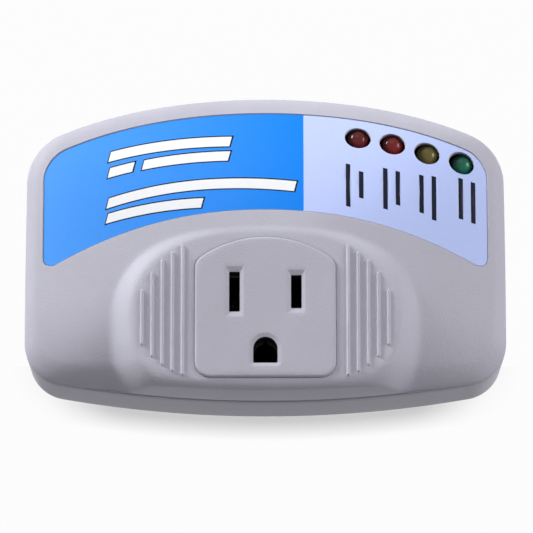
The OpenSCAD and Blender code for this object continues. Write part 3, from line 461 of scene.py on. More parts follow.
def moulding(name, front, back, between=()):
    """A closed wall between a front and a back surface, joined round every loop.

    Each surface is its loops, its free points, its depth at any point and its creases. Each
    ring between them, for the outer wall alone, is a loop and its depth."""
    solid, every, rings, count = [], [], [], 0
    for (loops, points, depth, creases), order in ((front, 1), (back, -1)):
        flat, faces, found = triangulated(loops, points, creases)
        solid.append(np.column_stack([flat[:, 0], depth(flat), flat[:, 1]]))
        every += (faces[:, ::order] + count).tolist()
        rings.append([[i + count for i in ring] for ring in found])
        count += len(flat)
    chains = [[ring] for ring in rings[0]]
    for loop, y in between:
        solid.append(np.column_stack([loop[:, 0], np.full(len(loop), y), loop[:, 1]]))
        chains[0].append(list(range(count, count + len(loop))))
        count += len(loop)
    for chain, last in zip(chains, rings[1]):
        chain.append(last)
        for near, far in zip(chain, chain[1:]):
            for i in range(len(near)):
                k = (i + 1) % len(near)
                every.append([near[i], far[i], far[k], near[k]])
    mesh = bpy.data.meshes.new(name)
    mesh.from_pydata((np.concatenate(solid) * MM).tolist(), [], every)
    mesh.validate()
    mesh.update()
    return linked(name, mesh)


def circle(centre, radius, count):
    """A clockwise circle, as the edge of a hole."""
    return curve(centre, radius, -2 * math.pi * np.arange(count) / count)


# The label's outline, the socket face's outline and the lamps' places shape the moulding.
LABEL_TOP, LABEL_LOW, LABEL_LOW_R, LABEL_SIDE = 4.2, 26.6, 98.0, 3.8
LABEL_HALF_W = HALF_W - LABEL_SIDE
LABEL_TOP_CORNER, LABEL_LOW_CORNER = 4.5, 3.0
LABEL_RECESS, RECESS_RAMP = 0.55, 0.3
FACE_FLANGE, FACE_TOP_GAP, FACE_LOW_GAP = 1.5, 0.7, 2.3
FACE_W = (face_high.x - face_low.x) / MM - 2 * FACE_FLANGE
FACE_TOP, FACE_LOW = SLOT_MM + PLATFORM_RISE - FACE_TOP_GAP, LOW_Z + FACE_LOW_GAP
FACE_ARCH_R, FACE_CORNER_R = 23.2, 3.2
LED_PITCH, LED_INSET, LED_SIDE = 7.17, 8.6, 9.15
LED_RAISE = np.array([0.15, 0.35, 0.45, 1.2])
LED_HOLE_HALF, LED_HOLE_LEAN = np.array([2.72, 2.28]), 1.55
LABEL_STEP, FACE_STEP, RIB_STEP = 0.5, 0.4, 0.35
LABEL_POINTS, LED_HOLE_POINTS = 301, 48
led_x = HALF_W - LED_SIDE - 3 * LED_PITCH + LED_PITCH * np.arange(4)
led_radius = TOP_R - LED_INSET + LED_RAISE
led_places = np.stack([led_x, TOP_C[1] + np.sqrt(led_radius ** 2 - led_x ** 2)], 1)


def lamp_opening(place, out):
    """A clockwise oval: a round opening that was bored square to the sloping face."""
    lean = -LED_HOLE_LEAN * math.asin(place[0] / (TOP_R - LED_INSET))
    x, z = circle((0, 0), LED_HOLE_HALF + out, LED_HOLE_POINTS).T
    return place + np.stack([x * math.cos(lean) - z * math.sin(lean),
                             x * math.sin(lean) + z * math.cos(lean)], 1)


def label_outline(inset):
    """The label: two bowed edges with rounded ends, anticlockwise."""
    half = LABEL_HALF_W - inset

    def edge(x, drop, radius, corner, sign):
        over = np.maximum(0, np.abs(x) - (half - corner))
        bow = TOP_Z - drop - radius + np.sqrt(radius ** 2 - x ** 2)
        return bow - sign * (corner - np.sqrt(np.maximum(0, corner ** 2 - over ** 2)))

    x = half * np.sin(np.linspace(-math.pi / 2, math.pi / 2, LABEL_POINTS))
    low = edge(x, LABEL_LOW - inset, LABEL_LOW_R + inset, LABEL_LOW_CORNER, -1)
    high = edge(x, LABEL_TOP + inset, TOP_R - LABEL_TOP - inset, LABEL_TOP_CORNER, 1)
    sides = [np.column_stack([x, low]), np.column_stack([x, high])[::-1]]
    return resampled(np.concatenate(sides), LABEL_STEP)


def face_outline(inset):
    """The socket face: an arch over straight sides, with rounded corners."""
    r, w = FACE_CORNER_R, FACE_W / 2 - FACE_CORNER_R
    c = np.array([0, FACE_TOP - FACE_ARCH_R])
    hi = c + np.array([w, math.sqrt((FACE_ARCH_R - r) ** 2 - w * w)])
    lo = np.array([w, FACE_LOW + r])
    a = bearing(c, hi)
    right = np.concatenate([
        [c + [0, FACE_ARCH_R - inset]],
        arc(c, FACE_ARCH_R - inset, math.pi / 2, a)[1:],
        arc(hi, r - inset, a, 0),
        arc(lo, r - inset, 0, -math.pi / 2),
        [lo - np.array([0, r - inset])],
        [[0, FACE_LOW + inset]],
    ])
    return resampled(mirrored_loop(right), FACE_STEP)


RIB_W, RIB_PITCH, RIB_START = 0.66, 2.08, 2.5
RIB_SINK, RIB_RAMP, RIB_END_POINTS = 0.08, 0.3, 9
RIB_TOP = PLATFORM_RISE * np.array([0.78, 0.659, 0.52, 0.309, 0.016])
RIB_LOW = (SLOT_MM - LOW_Z) * np.array([0.854, 0.813, 0.748, 0.662, 0.54])
rib_x = FACE_W / 2 + RIB_START + RIB_PITCH * np.arange(5)
ribs = [(side * x, SLOT_MM - low, SLOT_MM + top)
        for x, top, low in zip(rib_x, RIB_TOP, RIB_LOW) for side in (-1, 1)]


def rib_gap(p, rib):
    """Distance from a rib's edge, negative on the rib."""
    x, low, high = rib
    z = np.clip(p[:, 1], low, high)
    return np.hypot(p[:, 0] - x, p[:, 1] - z) - RIB_W / 2


def rib_loop(rib, out):
    """A line round a rib, with half-round ends."""
    x, low, high = rib
    r = RIB_W / 2 + out
    turns = np.linspace(0, math.pi, RIB_END_POINTS)
    ends = [curve((x, low), r, math.pi + turns), curve((x, high), r, turns)]
    return resampled(np.concatenate(ends), RIB_STEP)


WINDOW_SLACK, WINDOW_DROP, WINDOW_RAMP = 0.05, 0.08, 0.15
HOLE_DROP, HOLE_RAMP = 0.12, 0.18
label_loop = label_outline(0)
window_loop = face_outline(-WINDOW_SLACK)


def shell_y(p):
    """The finished front surface: the face with its ribs and the recess for the label."""
    y = face_y(p)
    y += LABEL_RECESS * soft(0.5 - signed_gap(p, label_loop) / RECESS_RAMP)
    rise = np.zeros(len(p))
    for rib in ribs:
        rise = np.maximum(rise, soft(0.5 - (rib_gap(p, rib) + RIB_SINK) / RIB_RAMP))
    y -= RIB_H * rise
    y += WINDOW_DROP * soft(1 - signed_gap(p, window_loop) / WINDOW_RAMP)
    for place in led_places:
        near = np.linalg.norm(p - place, axis=1) < 2 * LED_HOLE_HALF[0]
        gap = signed_gap(p[near], lamp_opening(place, 0)[::-1])
        y[near] += HOLE_DROP * soft(1 - gap / HOLE_RAMP)
    return y


def ring_at(level, zone):
    """A ring of points in the face's blend or rounding, and which of them are wanted."""
    t, u, reach, start, rounding, band = ray(rim)
    if zone == "blend":
        r = start + level * band
        return middle + u * r[:, None], r < reach - RING_CLEAR
    inward = offset(rim, -1) - rim
    return rim + inward * (rounding * (1 - level) ** 2)[:, None], None


def runs(points, wanted):
    """The stretches of a ring where it is wanted, as open creases."""
    if wanted is None or wanted.all():
        return [closed(points)]
    first = int(np.argmin(wanted))
    found, current = [], []
    for i in np.roll(np.arange(len(points)), -first):
        if wanted[i]:
            current.append(points[i])
        elif current:
            found.append(current)
            current = []
    return [np.array(run) for run in found + [current] if len(run) > 2]


# Rings of points follow the face's bends, and fine lines keep each small step sharp.
BLEND_LEVELS = (0, 0.12, 0.24, 0.36, 0.5, 0.64, 0.76, 0.88, 1)
ROUND_LEVELS = (0, 0.15, 0.3, 0.45, 0.6, 0.75, 0.88, 0.96)
GRID_STEP, INNER_STEP, LINE_CLEAR, GRID_CLEAR = 0.75, 3, 0.02, 0.3
face_creases = []
for zone, levels in (("blend", BLEND_LEVELS), ("rounding", ROUND_LEVELS)):
    for level in levels:
        face_creases += runs(*ring_at(level, zone))
lines = [offset(label_loop, d) for d in (-0.15, -0.08, 0, 0.08, 0.15)]
lines += [rib_loop(rib, out) for rib in ribs for out in (-0.23, -0.15, -0.08, -0.01, 0.07)]
lines += [offset(window_loop, d) for d in (0.1, 0.2)]
lines += [lamp_opening(place, d) for place in led_places for d in (0.09, 0.18)]
holes = [window_loop[::-1].copy()] + [lamp_opening(place, 0) for place in led_places]
shell_points = spread(np.concatenate([rim] + holes + face_creases),
                      (np.concatenate(lines), LINE_CLEAR), (grid(rim, GRID_STEP), GRID_CLEAR))

# The wall bends in just in front of the parting groove, and sooner along the lower edge.
# Inside the groove the edge steps forward for the rear housing's tongue.
BEND_START, BEND_TURN, BEND_TURN_INSET = 0.95, 0.75, 0.08
LOW_BEND, LOW_BEND_TURN, LOW_BEND_TOP, LOW_BEND_RAMP = 0.95, 0.7, 3.4, 1.5
GROOVE_W, GROOVE_EDGE, LAP, LAP_INSET = 0.45, 0.35, 1.5, 1.0
low_bend = LOW_BEND * soft((LOW_Z + LOW_BEND_TOP - rim[:, 1]) / LOW_BEND_RAMP)
inner_loop = offset(rim, -WALL - DRAFT)
front_shell = moulding(
    "front_shell", ([rim] + holes, shell_points, shell_y, face_creases),
    ([inner_loop] + holes, grid(inner_loop, INNER_STEP), lambda p: face_y(p) + WALL, []),
    between=[
        (rim, PARTING_Y - BEND_START - low_bend),
        (offset(rim, -BEND_TURN_INSET), PARTING_Y - BEND_TURN - LOW_BEND_TURN * low_bend),
        (offset(rim, -GROOVE_EDGE), PARTING_Y - GROOVE_W),
        (offset(rim, -LAP_INSET), PARTING_Y - GROOVE_W),
        (offset(rim, -LAP_INSET), PARTING_Y - LAP),
        (inner_loop, PARTING_Y - LAP),
    ],
)


def pick(*pieces):
    """Select some pieces alone, the last of them active."""
    bpy.ops.object.select_all(action="DESELECT")
    for piece in pieces:
        piece.select_set(True)
    bpy.context.view_layer.objects.active = pieces[-1]


def smoothed(piece, angle=40):
    """Shade a piece smooth, apart from its sharp corners."""
    pick(piece)
    bpy.ops.object.shade_smooth_by_angle(angle=math.radians(angle))


def textured(name):
    """An empty material, the function that adds a node to it, and the place on the object."""
    made, add = new_material(name)
    return made, add, add("TexCoord").outputs["Object"]


def surfaced(made, add, inputs):
    """Finish a material with its shader and output."""
    add("OutputMaterial", {"Surface": add("BsdfPrincipled", inputs)})
    return made


def plastic(name, colour, roughness, grain=0.00035, depth=0.03, mottle=0.03, gloss=0.5):
    """Moulded plastic: an even colour with faint mottling and a fine spark-eroded texture."""
    made, add, where = textured(name)
    cloud = add("TexNoise", {"Vector": where, "Scale": 60, "Detail": 3})
    tint = add("ValToRGB", {"Fac": cloud})
    for stop, position, share in zip(tint.color_ramp.elements, (0.3, 0.7), (1 - mottle, 1 + mottle)):
        stop.position = position
        stop.color = (*[min(1, c * share) for c in colour], 1)
    fine = add("TexNoise", {"Vector": where, "Scale": 1 / grain, "Detail": 2})
    bump = add("Bump", {"Height": fine, "Strength": depth, "Distance": grain})
    return surfaced(made, add, {
        "Base Color": tint, "Roughness": roughness, "Specular IOR Level": gloss, "Normal": bump})


SHELL_GREY = (0.465, 0.457, 0.532)
shell_plastic = plastic("shell_plastic", SHELL_GREY, 0.5, depth=0.25, gloss=0.15)
smoothed(front_shell)
front_shell.data.materials.append(shell_plastic)
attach(front_shell, "housing")
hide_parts("front_housing")

# Socket face. A raised plate of the same plastic with two bevelled slots and the ground
# hole. A flange behind the front housing's window holds it against the contact block.
FACE_Y, FACE_BACK_Y = face_low.y / MM, face_high.y / MM
SLOT_GAP, SLOT_W = 12.7, 2.2
NEUTRAL_H, HOT_H = 8.4, 7.0
BEVEL_SIDE, BEVEL_END, BEVEL_DEPTH = 0.75, 1.1, 0.5
GROUND_R, GROUND_FLAT = 2.5, 2.95
GROUND_BEVEL, GROUND_BEVEL_DEPTH, GROUND_RISE = 0.8, 0.32, 0.35
BEVEL_SHARES = (0.35, 0.7, 0.97, 1.03)
EDGE_ROUND, HOLE_STEP, CORNER_POINTS, ARCH_POINTS = 0.5, 0.2, 5, 25
PLATE_STEP, PLATE_BACK_STEP, PLATE_LINE_CLEAR = 0.8, 4, 0.03
PLATE_PAINTED_SHADE, OPENING_SHADE_REACH = 0.95, 0.01


def rectangle(centre, width, height, corner=0.15):
    """A rounded rectangle, anticlockwise."""
    w, h = width / 2 - corner, height / 2 - corner
    corners = []
    for x, z, start in ((w, -h, -90), (w, h, 0), (-w, h, 90), (-w, -h, 180)):
        turns = np.radians(start + np.linspace(0, 90, CORNER_POINTS))
        corners.append(curve((centre[0] + x, centre[1] + z), corner, turns))
    return resampled(np.concatenate(corners), HOLE_STEP)


def ground_loop(out):
    """The ground hole, drawn larger by out: half round at its top and flat at its foot."""
    r = GROUND_R + out
    top = curve((0, 0), r, np.radians(np.linspace(0, 180, ARCH_POINTS)))
    low = np.array([[-r, -GROUND_FLAT - out], [r, -GROUND_FLAT - out]])
    return resampled(np.concatenate([top, low]) + [0, GROUND_RISE], HOLE_STEP)


slots = [((-SLOT_GAP / 2, SLOT_MM), NEUTRAL_H), ((SLOT_GAP / 2, SLOT_MM), HOT_H)]
slot_loops = [rectangle(c, SLOT_W, h) for c, h in slots]
plate_loop = face_outline(0)
ground_edge = ground_loop(0)


def plate_y(p):
    """The plate's front: rounded at its edge, and bevelled down into its openings."""
    gap = np.clip(EDGE_ROUND + signed_gap(p, plate_loop), 0, EDGE_ROUND)
    y = FACE_Y + EDGE_ROUND - np.sqrt(np.maximum(0, EDGE_ROUND ** 2 - gap ** 2))
    for (x, z), height in slots:
        side = (np.abs(p[:, 0] - x) - SLOT_W / 2) / BEVEL_SIDE
        end = (np.abs(p[:, 1] - z) - height / 2) / BEVEL_END
        y += BEVEL_DEPTH * np.clip(1 - np.maximum(side, end), 0, 1)
    y += GROUND_BEVEL_DEPTH * np.clip(1 - signed_gap(p, ground_edge) / GROUND_BEVEL, 0, 1)
    return y


plate_loops = [plate_loop] + [loop[::-1].copy() for loop in slot_loops + [ground_edge]]
plate_lines = [face_outline(d) for d in (0.03, 0.1, 0.2, 0.33, 0.5)]
for centre, height in slots:
    for share in BEVEL_SHARES:
        width = SLOT_W + 2 * share * BEVEL_SIDE
        plate_lines.append(rectangle(centre, width, height + 2 * share * BEVEL_END, corner=0.1))
plate_lines += [ground_loop(share * GROUND_BEVEL) for share in BEVEL_SHARES]
plate_points = spread(
    np.concatenate(plate_loops),
    (np.concatenate(plate_lines), PLATE_LINE_CLEAR), (grid(plate_loop, PLATE_STEP), GRID_CLEAR),
)
face_plate = moulding(
    "face_plate", (plate_loops, plate_points, plate_y, []),
    (plate_loops, grid(plate_loop, PLATE_BACK_STEP), lambda p: np.full(len(p), FACE_BACK_Y), []),
)


def face_middles(piece):
    """The middle of each face in the XZ plane, in millimetres."""
    return np.array([list(face.center) for face in piece.data.polygons])[:, [0, 2]] / MM


# The plate's own walls in the openings, behind their bevels, are coloured black: painted shade.
flat = face_middles(face_plate)
shaded_walls = np.zeros(len(flat), bool)
for loop in slot_loops + [ground_edge]:
    shaded_walls |= signed_gap(flat, loop) < OPENING_SHADE_REACH
face_plate.data.polygons.foreach_set("material_index", shaded_walls.astype(np.int32))
smoothed(face_plate)
# Painted shade: the plate faces the front squarely, so it gets the shell's plastic a little darker.
plate_painted_grey = [PLATE_PAINTED_SHADE * c for c in SHELL_GREY]
face_plate.data.materials.append(plastic("plate_painted_shade_plastic", plate_painted_grey, 0.5, depth=0.25, gloss=0.15))
# Painted shade: black for the walls of the openings.
face_plate.data.materials.append(plastic("opening_painted_shade", (0.012, 0.012, 0.013), 0.6))
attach(face_plate, "housing")
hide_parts("socket_face")

# Label. A printed polyester sheet, glued into the recess of the front housing. Its left part
# is blue with white bars, its right part pale blue with dark bars under the lamps.
LABEL_T, LABEL_SLACK, LABEL_HOLE_SLACK, LABEL_GLUE = 0.3, 0.08, 0.1, 0.05
LABEL_GRID_STEP, LABEL_BACK_STEP = 0.9, 1.5
SPLIT_X, SPLIT_FROM, SPLIT_CLEAR, SPLIT_POINTS = 7.9, 30, 0.096, 60
# Each white bar: its ends along X, the drop of its foot under the top arc there, its height
WHITE_BARS = (
    ((-32.6, -7.5), (10.4, 11.85), 2.3),
    ((-32.7, -27.6), (13.8, 14.1), 2.2),
    ((-25.6, -7.8), (14.3, 15.2), 2.2),
    ((-32.9, 5.9), (20.1, 22.3), 2.2),
    ((-33.0, -13.3), (23.1, 25.2), 2.1),
)
BAR_SLANT, BAR_OUTLINE, BAR_STEP = 0.24, 0.28, 0.8
# Each dark bar: its place along X, and the levels of its lower and upper end
DARK_BARS = (
    (17.1, 30.9, 40.5), (19.8, 32.8, 38.8), (24.8, 30.6, 39.7), (27.4, 31.6, 39.1),
    (32.3, 30.2, 38.5), (34.9, 28.8, 38.4), (40.5, 29.5, 38.4), (43.1, 28.8, 37.7),
)
DARK_BAR_W = 0.95


def white_bar(ends, drops, height, out):
    """A slanted bar that follows the top arc, drawn larger by out, anticlockwise."""
    x = np.linspace(ends[0] - out, ends[1] + out, int((ends[1] - ends[0]) / BAR_STEP) + 2)
    radius = TOP_R - np.interp(x, ends, drops)
    foot = TOP_C[1] + np.sqrt(radius ** 2 - x ** 2) - out
    head_x = x + BAR_SLANT * (height + 2 * out)
    head = foot + height + 2 * out
    return np.concatenate([np.column_stack([x, foot]), np.column_stack([head_x, head])[::-1]])


def dark_bar(x, low, high):
    """An upright bar with slanted ends, anticlockwise."""
    w = DARK_BAR_W / 2
    slant = BAR_SLANT * w
    return np.array([[x - w, low + slant], [x + w, low - slant],
                     [x + w, high - slant], [x - w, high + slant]])


label_edge = label_outline(LABEL_SLACK)
label_loops = [label_edge] + [lamp_opening(place, LABEL_HOLE_SLACK) for place in led_places]
bars = [white_bar(*bar, 0) for bar in WHITE_BARS]
outlines = [white_bar(*bar, BAR_OUTLINE) for bar in WHITE_BARS]
strokes = [dark_bar(*bar) for bar in DARK_BARS]
split_z = np.linspace(LOW_Z + SPLIT_FROM, TOP_Z - LABEL_TOP - SPLIT_CLEAR, SPLIT_POINTS)
split = np.column_stack([np.full(SPLIT_POINTS, SPLIT_X), split_z])
split = split[inside(split, label_edge)]
label_creases = [closed(loop) for loop in bars + outlines + strokes] + [split]
label_points = spread(np.concatenate(label_loops + label_creases),
                      (grid(label_edge, LABEL_GRID_STEP), GRID_CLEAR))
label_sheet = moulding(
    "printed_label",
    (label_loops, label_points, lambda p: face_y(p) + LABEL_RECESS - LABEL_T, label_creases),
    (label_loops, grid(label_edge, LABEL_BACK_STEP),
     lambda p: face_y(p) + LABEL_RECESS - LABEL_GLUE, []),
)
# Each face on the printed side gets the ink that lies there: blue, pale, dark or white.
flat = face_middles(label_sheet)
printed_side = np.array([face.normal.y < -0.5 for face in label_sheet.data.polygons])
ink = np.where(flat[:, 0] < SPLIT_X, 1, 2)
for loops, number in ((outlines, 3), (bars, 4), (strokes, 3)):
    for loop in loops:
        ink[inside(flat, loop)] = number
ink[~printed_side] = 0
label_sheet.data.polygons.foreach_set("material_index", ink.astype(np.int32))


def blended(add, share, first, second):
    """A colour between two others."""
    mix = add("Mix", {"Factor": share, "A": (*first, 1), "B": (*second, 1)}, data_type="RGBA")
    return mix.outputs["Result"]


def printed(name, colour, other=None):
    """Ink under a clear satin film; a second colour, where given, lightens it to the left as a painted
    highlight.
    """
    made, add, where = textured(name)
    across = add("MapRange", {
        "Value": add("SeparateXYZ", {0: where}),
        "From Min": -HALF_W * MM, "From Max": HALF_W * MM / 4,
    })
    tone = blended(add, across, other or colour, colour)
    dots = add("TexNoise", {"Vector": where, "Scale": 2500})
    fleck = add("Mix", {"A": tone, "B": dots, "Factor": 0.08}, data_type="RGBA", blend_type="MULTIPLY")
    bump = add("Bump", {"Height": dots, "Strength": 0.05, "Distance": 0.0002})
    return surfaced(made, add, {
        "Base Color": fleck.outputs["Result"], "Roughness": 0.3, "Specular IOR Level": 0.08,
        "Normal": bump})


for material in (
    printed("label_film", (0.75, 0.78, 0.85)),
    # The blue ink's second colour is a painted highlight, lighter towards the left.
    printed("blue_ink", (0.002, 0.22, 0.86), (0.09, 0.35, 0.94)),
    printed("pale_ink", (0.52, 0.61, 0.98)),
    printed("dark_ink", (0.012, 0.014, 0.03)),
    printed("white_ink", (0.86, 0.87, 0.9)),
):
    label_sheet.data.materials.append(material)
smoothed(label_sheet, angle=35)
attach(label_sheet, "housing")
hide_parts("label_sheet")

# Lamps. Four 5 mm lamps cast in tinted epoxy, with a domed top and a flange at the base.
# Each stands in a collar behind the front housing and is soldered to the board by two leads.
LAMP_R, LAMP_L, LAMP_SUNK, DOME_POINTS = 2.45, 8.6, 0.1, 13
FLANGE_H, FLANGE_W, FLANGE_EDGE = 0.8, 0.4, 0.1
# Each lamp: the part it replaces, its name, its colour, its deep tint and the tint of its painted glow
LAMPS = (
    ("led_low_voltage", "low_voltage_lamp", "lamp_red", (0.035, 0.0002, 0.0006), (0.14, 0.002, 0.003)),
    ("led_high_voltage", "high_voltage_lamp", "lamp_red", (0.05, 0.0003, 0.0006), (0.19, 0.004, 0.003)),
    ("led_wait", "waiting_lamp", "lamp_amber", (0.038, 0.03, 0.005), (0.14, 0.11, 0.025)),
    ("led_normal", "normal_lamp", "lamp_green", (0.0003, 0.03, 0.017), (0.0015, 0.14, 0.08)),
)


def spun(name, profile, place, steps=40):
    """A turned piece, from a profile of radius and depth along Y, about an axis at a place."""
    mesh = bpy.data.meshes.new(name)
    points = [((place[0] + r) * MM, y * MM, place[1] * MM) for r, y in profile]
    mesh.from_pydata(points, [(i, i + 1) for i in range(len(points) - 1)], [])
    made = linked(name, mesh)
    pick(made)
    bpy.ops.object.mode_set(mode="EDIT")
    bpy.ops.mesh.select_all(action="SELECT")
    bpy.ops.mesh.spin(steps=steps, angle=2 * math.pi, axis=(0, 1, 0),
                      center=(place[0] * MM, 0, place[1] * MM))
    bpy.ops.mesh.select_all(action="SELECT")
    bpy.ops.mesh.remove_doubles(threshold=1e-6)
    bpy.ops.mesh.normals_make_consistent(inside=False)
    bpy.ops.object.mode_set(mode="OBJECT")
    return made


def epoxy(name, deep, clear, tip):
    """Tinted epoxy with a painted glow: the clear tint round a point in the dome, darker at the back.
    """
    made, add, where = textured(name)
    centred = add("Mapping", {"Vector": where, "Location": [-c * MM for c in tip]})
    away = add("VectorMath", {0: centred}, operation="LENGTH").outputs["Value"]
    depth = add("MapRange", {
        "Value": away, "From Min": 0.4 * LAMP_R * MM, "From Max": 1.1 * LAMP_R * MM})
    return surfaced(made, add, {
        "Base Color": blended(add, depth, clear, deep),
        "Roughness": 0.16, "IOR": 1.55, "Specular IOR Level": 0.25})


for (node, name, slot, deep, clear), place in zip(LAMPS, led_places):
    tip = float(face_y(place[None, :])[0]) + LABEL_RECESS + LAMP_SUNK
    turns = np.radians(np.linspace(90, 0, DOME_POINTS))
    dome = [(LAMP_R * math.cos(t), tip + LAMP_R * (1 - math.sin(t))) for t in turns]
    foot = tip + LAMP_L
    flange = LAMP_R + FLANGE_W
    profile = dome + [
        (LAMP_R, foot - FLANGE_H), (flange, foot - FLANGE_H + FLANGE_EDGE),
        (flange, foot - FLANGE_EDGE), (flange - FLANGE_EDGE, foot), (0, foot),
    ]
    lens = spun(name, profile, place)
    # Painted glow: the epoxy is coloured lighter round this point, low and to the right in the dome.
    glow = (place[0] + 0.25 * LAMP_R, tip + 0.5 * LAMP_R, place[1] - 0.35 * LAMP_R)
    lens.data.materials.append(epoxy(name + "_epoxy", deep, clear, glow))
    smoothed(lens, angle=50)
    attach(lens, "housing")
    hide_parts(node)

# Rear housing. A tray of the same plastic that laps into the front housing. A flat pad with
# the blades meets the wall, and four screws enter through counterbores at the corners.
REAR_Y, REAR_FLOOR_Y, REAR_ROUND = -1.2, -3.2, 1.5
PAD_W, PAD_H, PAD_SHARE, PAD_CORNER_R, PAD_LOW_INSET = 60.0, 1.2, 0.72, 4.0, 0.9
PAD_TOP = LOW_Z + PAD_SHARE * (TOP_Z - LOW_Z)
PAD_RAMP, PAD_RAMP_IN, PAD_STEP, PAD_POINTS = 0.3, 0.15, 0.6, 41
SCREW_SHARES = ((0.428, 0.564), (0.387, 0.167))
COUNTERBORE_R, COLUMN_R, SCREW_HOLE_R = 2.7, 3.9, 1.5
BORE_EDGE_H, BORE_EDGE_W, ROUND_POINTS = 0.2, 0.25, 40
SCREW_SEAT_Y, COLUMN_END_Y = -4.8, -13.8
TONGUE_INSET, TONGUE_L, WALL_RAMP = 1.1, 1.3, 0.2
# Rings from the tongue over the bevelled lip: each one's inset and its rise past the parting
LIP_RINGS = ((TONGUE_INSET, -0.02), (0.44, -0.02), (0.14, 0.05), (0.05, 0.2))
BLADE_HOLES = ((-6.35, 8.2), (6.35, 6.65))
BLADE_HOLE_W, PIN_HOLE_R = 1.82, 2.55
TRAY_STEP, BACK_STEP, BACK_LINE_IN, BACK_LINE_CLEAR, BACK_CLEAR = 4, 2.5, 1.0, 0.05, 0.8
screw_places = [(side * x * 2 * HALF_W, LOW_Z + z * (TOP_Z - LOW_Z))
                for x, z in SCREW_SHARES for side in (-1, 1)]


def pad_outline(inset):
    """The wall pad: rounded at its top, and as curved as the housing at its bottom."""
    w, r = PAD_W / 2, PAD_CORNER_R
    x = np.linspace(-w + inset, w - inset, PAD_POINTS)
    radius = LOW_R - DRAFT - PAD_LOW_INSET - inset
    low = np.column_stack([x, LOW_C[1] - np.sqrt(radius ** 2 - x ** 2)])
    return resampled(np.concatenate([
        low,
        arc((w - r, PAD_TOP - r), r - inset, 0, math.pi / 2),
        arc((r - w, PAD_TOP - r), r - inset, math.pi / 2, math.pi),
    ]), PAD_STEP)


rear_holes = [rectangle((x, SLOT_MM), BLADE_HOLE_W, h)[::-1].copy() for x, h in BLADE_HOLES]
rear_holes.append(circle((0, 0), PIN_HOLE_R, ROUND_POINTS))
rear_holes += [circle(place, COUNTERBORE_R, ROUND_POINTS) for place in screw_places]
rear_back = offset(rim, -(DRAFT + REAR_ROUND))
rear_wall = [offset(rim, -(DRAFT + WALL)), offset(rim, -(DRAFT + WALL + WALL_RAMP))]
pad_lines = [pad_outline(inset) for inset in (0, 0.08, 0.2, 0.35)]


def rear_y(p):
    """The back: flat, with the wall pad standing out behind it."""
    y = REAR_Y + PAD_H * soft(0.5 - (signed_gap(p, pad_lines[0]) + PAD_RAMP_IN) / PAD_RAMP)
    for place in screw_places:
        gap = np.linalg.norm(p - np.array(place), axis=1) - COUNTERBORE_R
        y -= BORE_EDGE_H * soft(1 - gap / BORE_EDGE_W)
    return y


def tray_y(p):
    """The inside: the rim's edge, then down the wall to the floor."""
    depth = soft(-signed_gap(p, rear_wall[0]) / WALL_RAMP)
    return PARTING_Y - TONGUE_L + depth * (REAR_FLOOR_Y - PARTING_Y + TONGUE_L)


back_lines = [offset(rear_back, -BACK_LINE_IN)]
for place in screw_places:
    back_lines += [circle(place, COUNTERBORE_R + d, ROUND_POINTS) for d in (0.12, 0.25)]
rear_points = spread(
    np.concatenate([rear_back] + rear_holes + pad_lines),
    (np.concatenate(back_lines), BACK_LINE_CLEAR), (grid(rear_back, BACK_STEP), BACK_CLEAR),
)
rear_rings = [(inset, PARTING_Y + rise) for inset, rise in LIP_RINGS]
for share in (0.15, 0.5, 1):
    rear_rings.append((DRAFT * share, PARTING_Y + share * (REAR_Y - REAR_ROUND - PARTING_Y)))
for turn in np.radians((20, 40, 60, 78)):
    rear_rings.append((DRAFT + REAR_ROUND * (1 - math.cos(turn)),
                       REAR_Y - REAR_ROUND * (1 - math.sin(turn))))
rear_shell = moulding(
    "rear_shell",
    ([offset(rim, -TONGUE_INSET)] + rear_holes, grid(rear_wall[1], TRAY_STEP), tray_y,
     [closed(loop) for loop in rear_wall]),
    ([rear_back] + rear_holes, rear_points, rear_y, [closed(loop) for loop in pad_lines]),
    between=[(offset(rim, -inset), y) for inset, y in rear_rings],
)
column_profile = [
    (COUNTERBORE_R, REAR_FLOOR_Y), (COUNTERBORE_R, SCREW_SEAT_Y), (SCREW_HOLE_R, SCREW_SEAT_Y),
    (SCREW_HOLE_R, COLUMN_END_Y), (COLUMN_R, COLUMN_END_Y), (COLUMN_R, REAR_FLOOR_Y),
    (COUNTERBORE_R, REAR_FLOOR_Y),
]
pick(*[spun("column", column_profile, place) for place in screw_places], rear_shell)
bpy.ops.object.join()
smoothed(rear_shell, angle=35)
rear_shell.data.materials.append(shell_plastic)
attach(rear_shell, "housing")
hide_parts("rear_housing")

# Socket contacts. Phosphor bronze spring leaves behind the two slots and round the ground hole,
# pressed into pockets of a dark moulded block. They are coloured very dark, as painted shade
# inside the openings.


def dressed(node, material):
    """Give a carried-over piece its material."""
    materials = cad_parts[node].data.materials
    materials.clear()
    materials.append(material)


def metal(name, colour, dull, roughness, metallic=1.0, scale=900, stretch=(1, 1, 1)):
    """Sheet metal with cloudy tarnish and fine drawing marks along its length."""
    made, add, where = textured(name)
    cloud = add("TexNoise", {"Vector": where, "Scale": 250, "Detail": 4})
    placed = add("Mapping", {"Vector": where, "Scale": stretch})
    marks = add("TexNoise", {"Vector": placed, "Scale": scale, "Detail": 3})
    rough = add("MapRange", {
        "Value": marks, "To Min": roughness * 0.75, "To Max": roughness * 1.3})
    bump = add("Bump", {"Height": marks, "Strength": 0.12, "Distance": 0.0001})
    return surfaced(made, add, {
        "Base Color": blended(add, cloud, colour, dull), "Metallic": metallic,
        "Roughness": rough, "Normal": bump})


bronze_in_shade = metal("bronze_painted_shade", (0.05, 0.042, 0.034), (0.018, 0.016, 0.015), 0.55, metallic=0.6)
for node in ("socket_hot_contact", "socket_neutral_contact", "socket_ground_contact"):
    # Painted shade: the contacts are dark so that the openings look dark inside.
    dressed(node, bronze_in_shade)

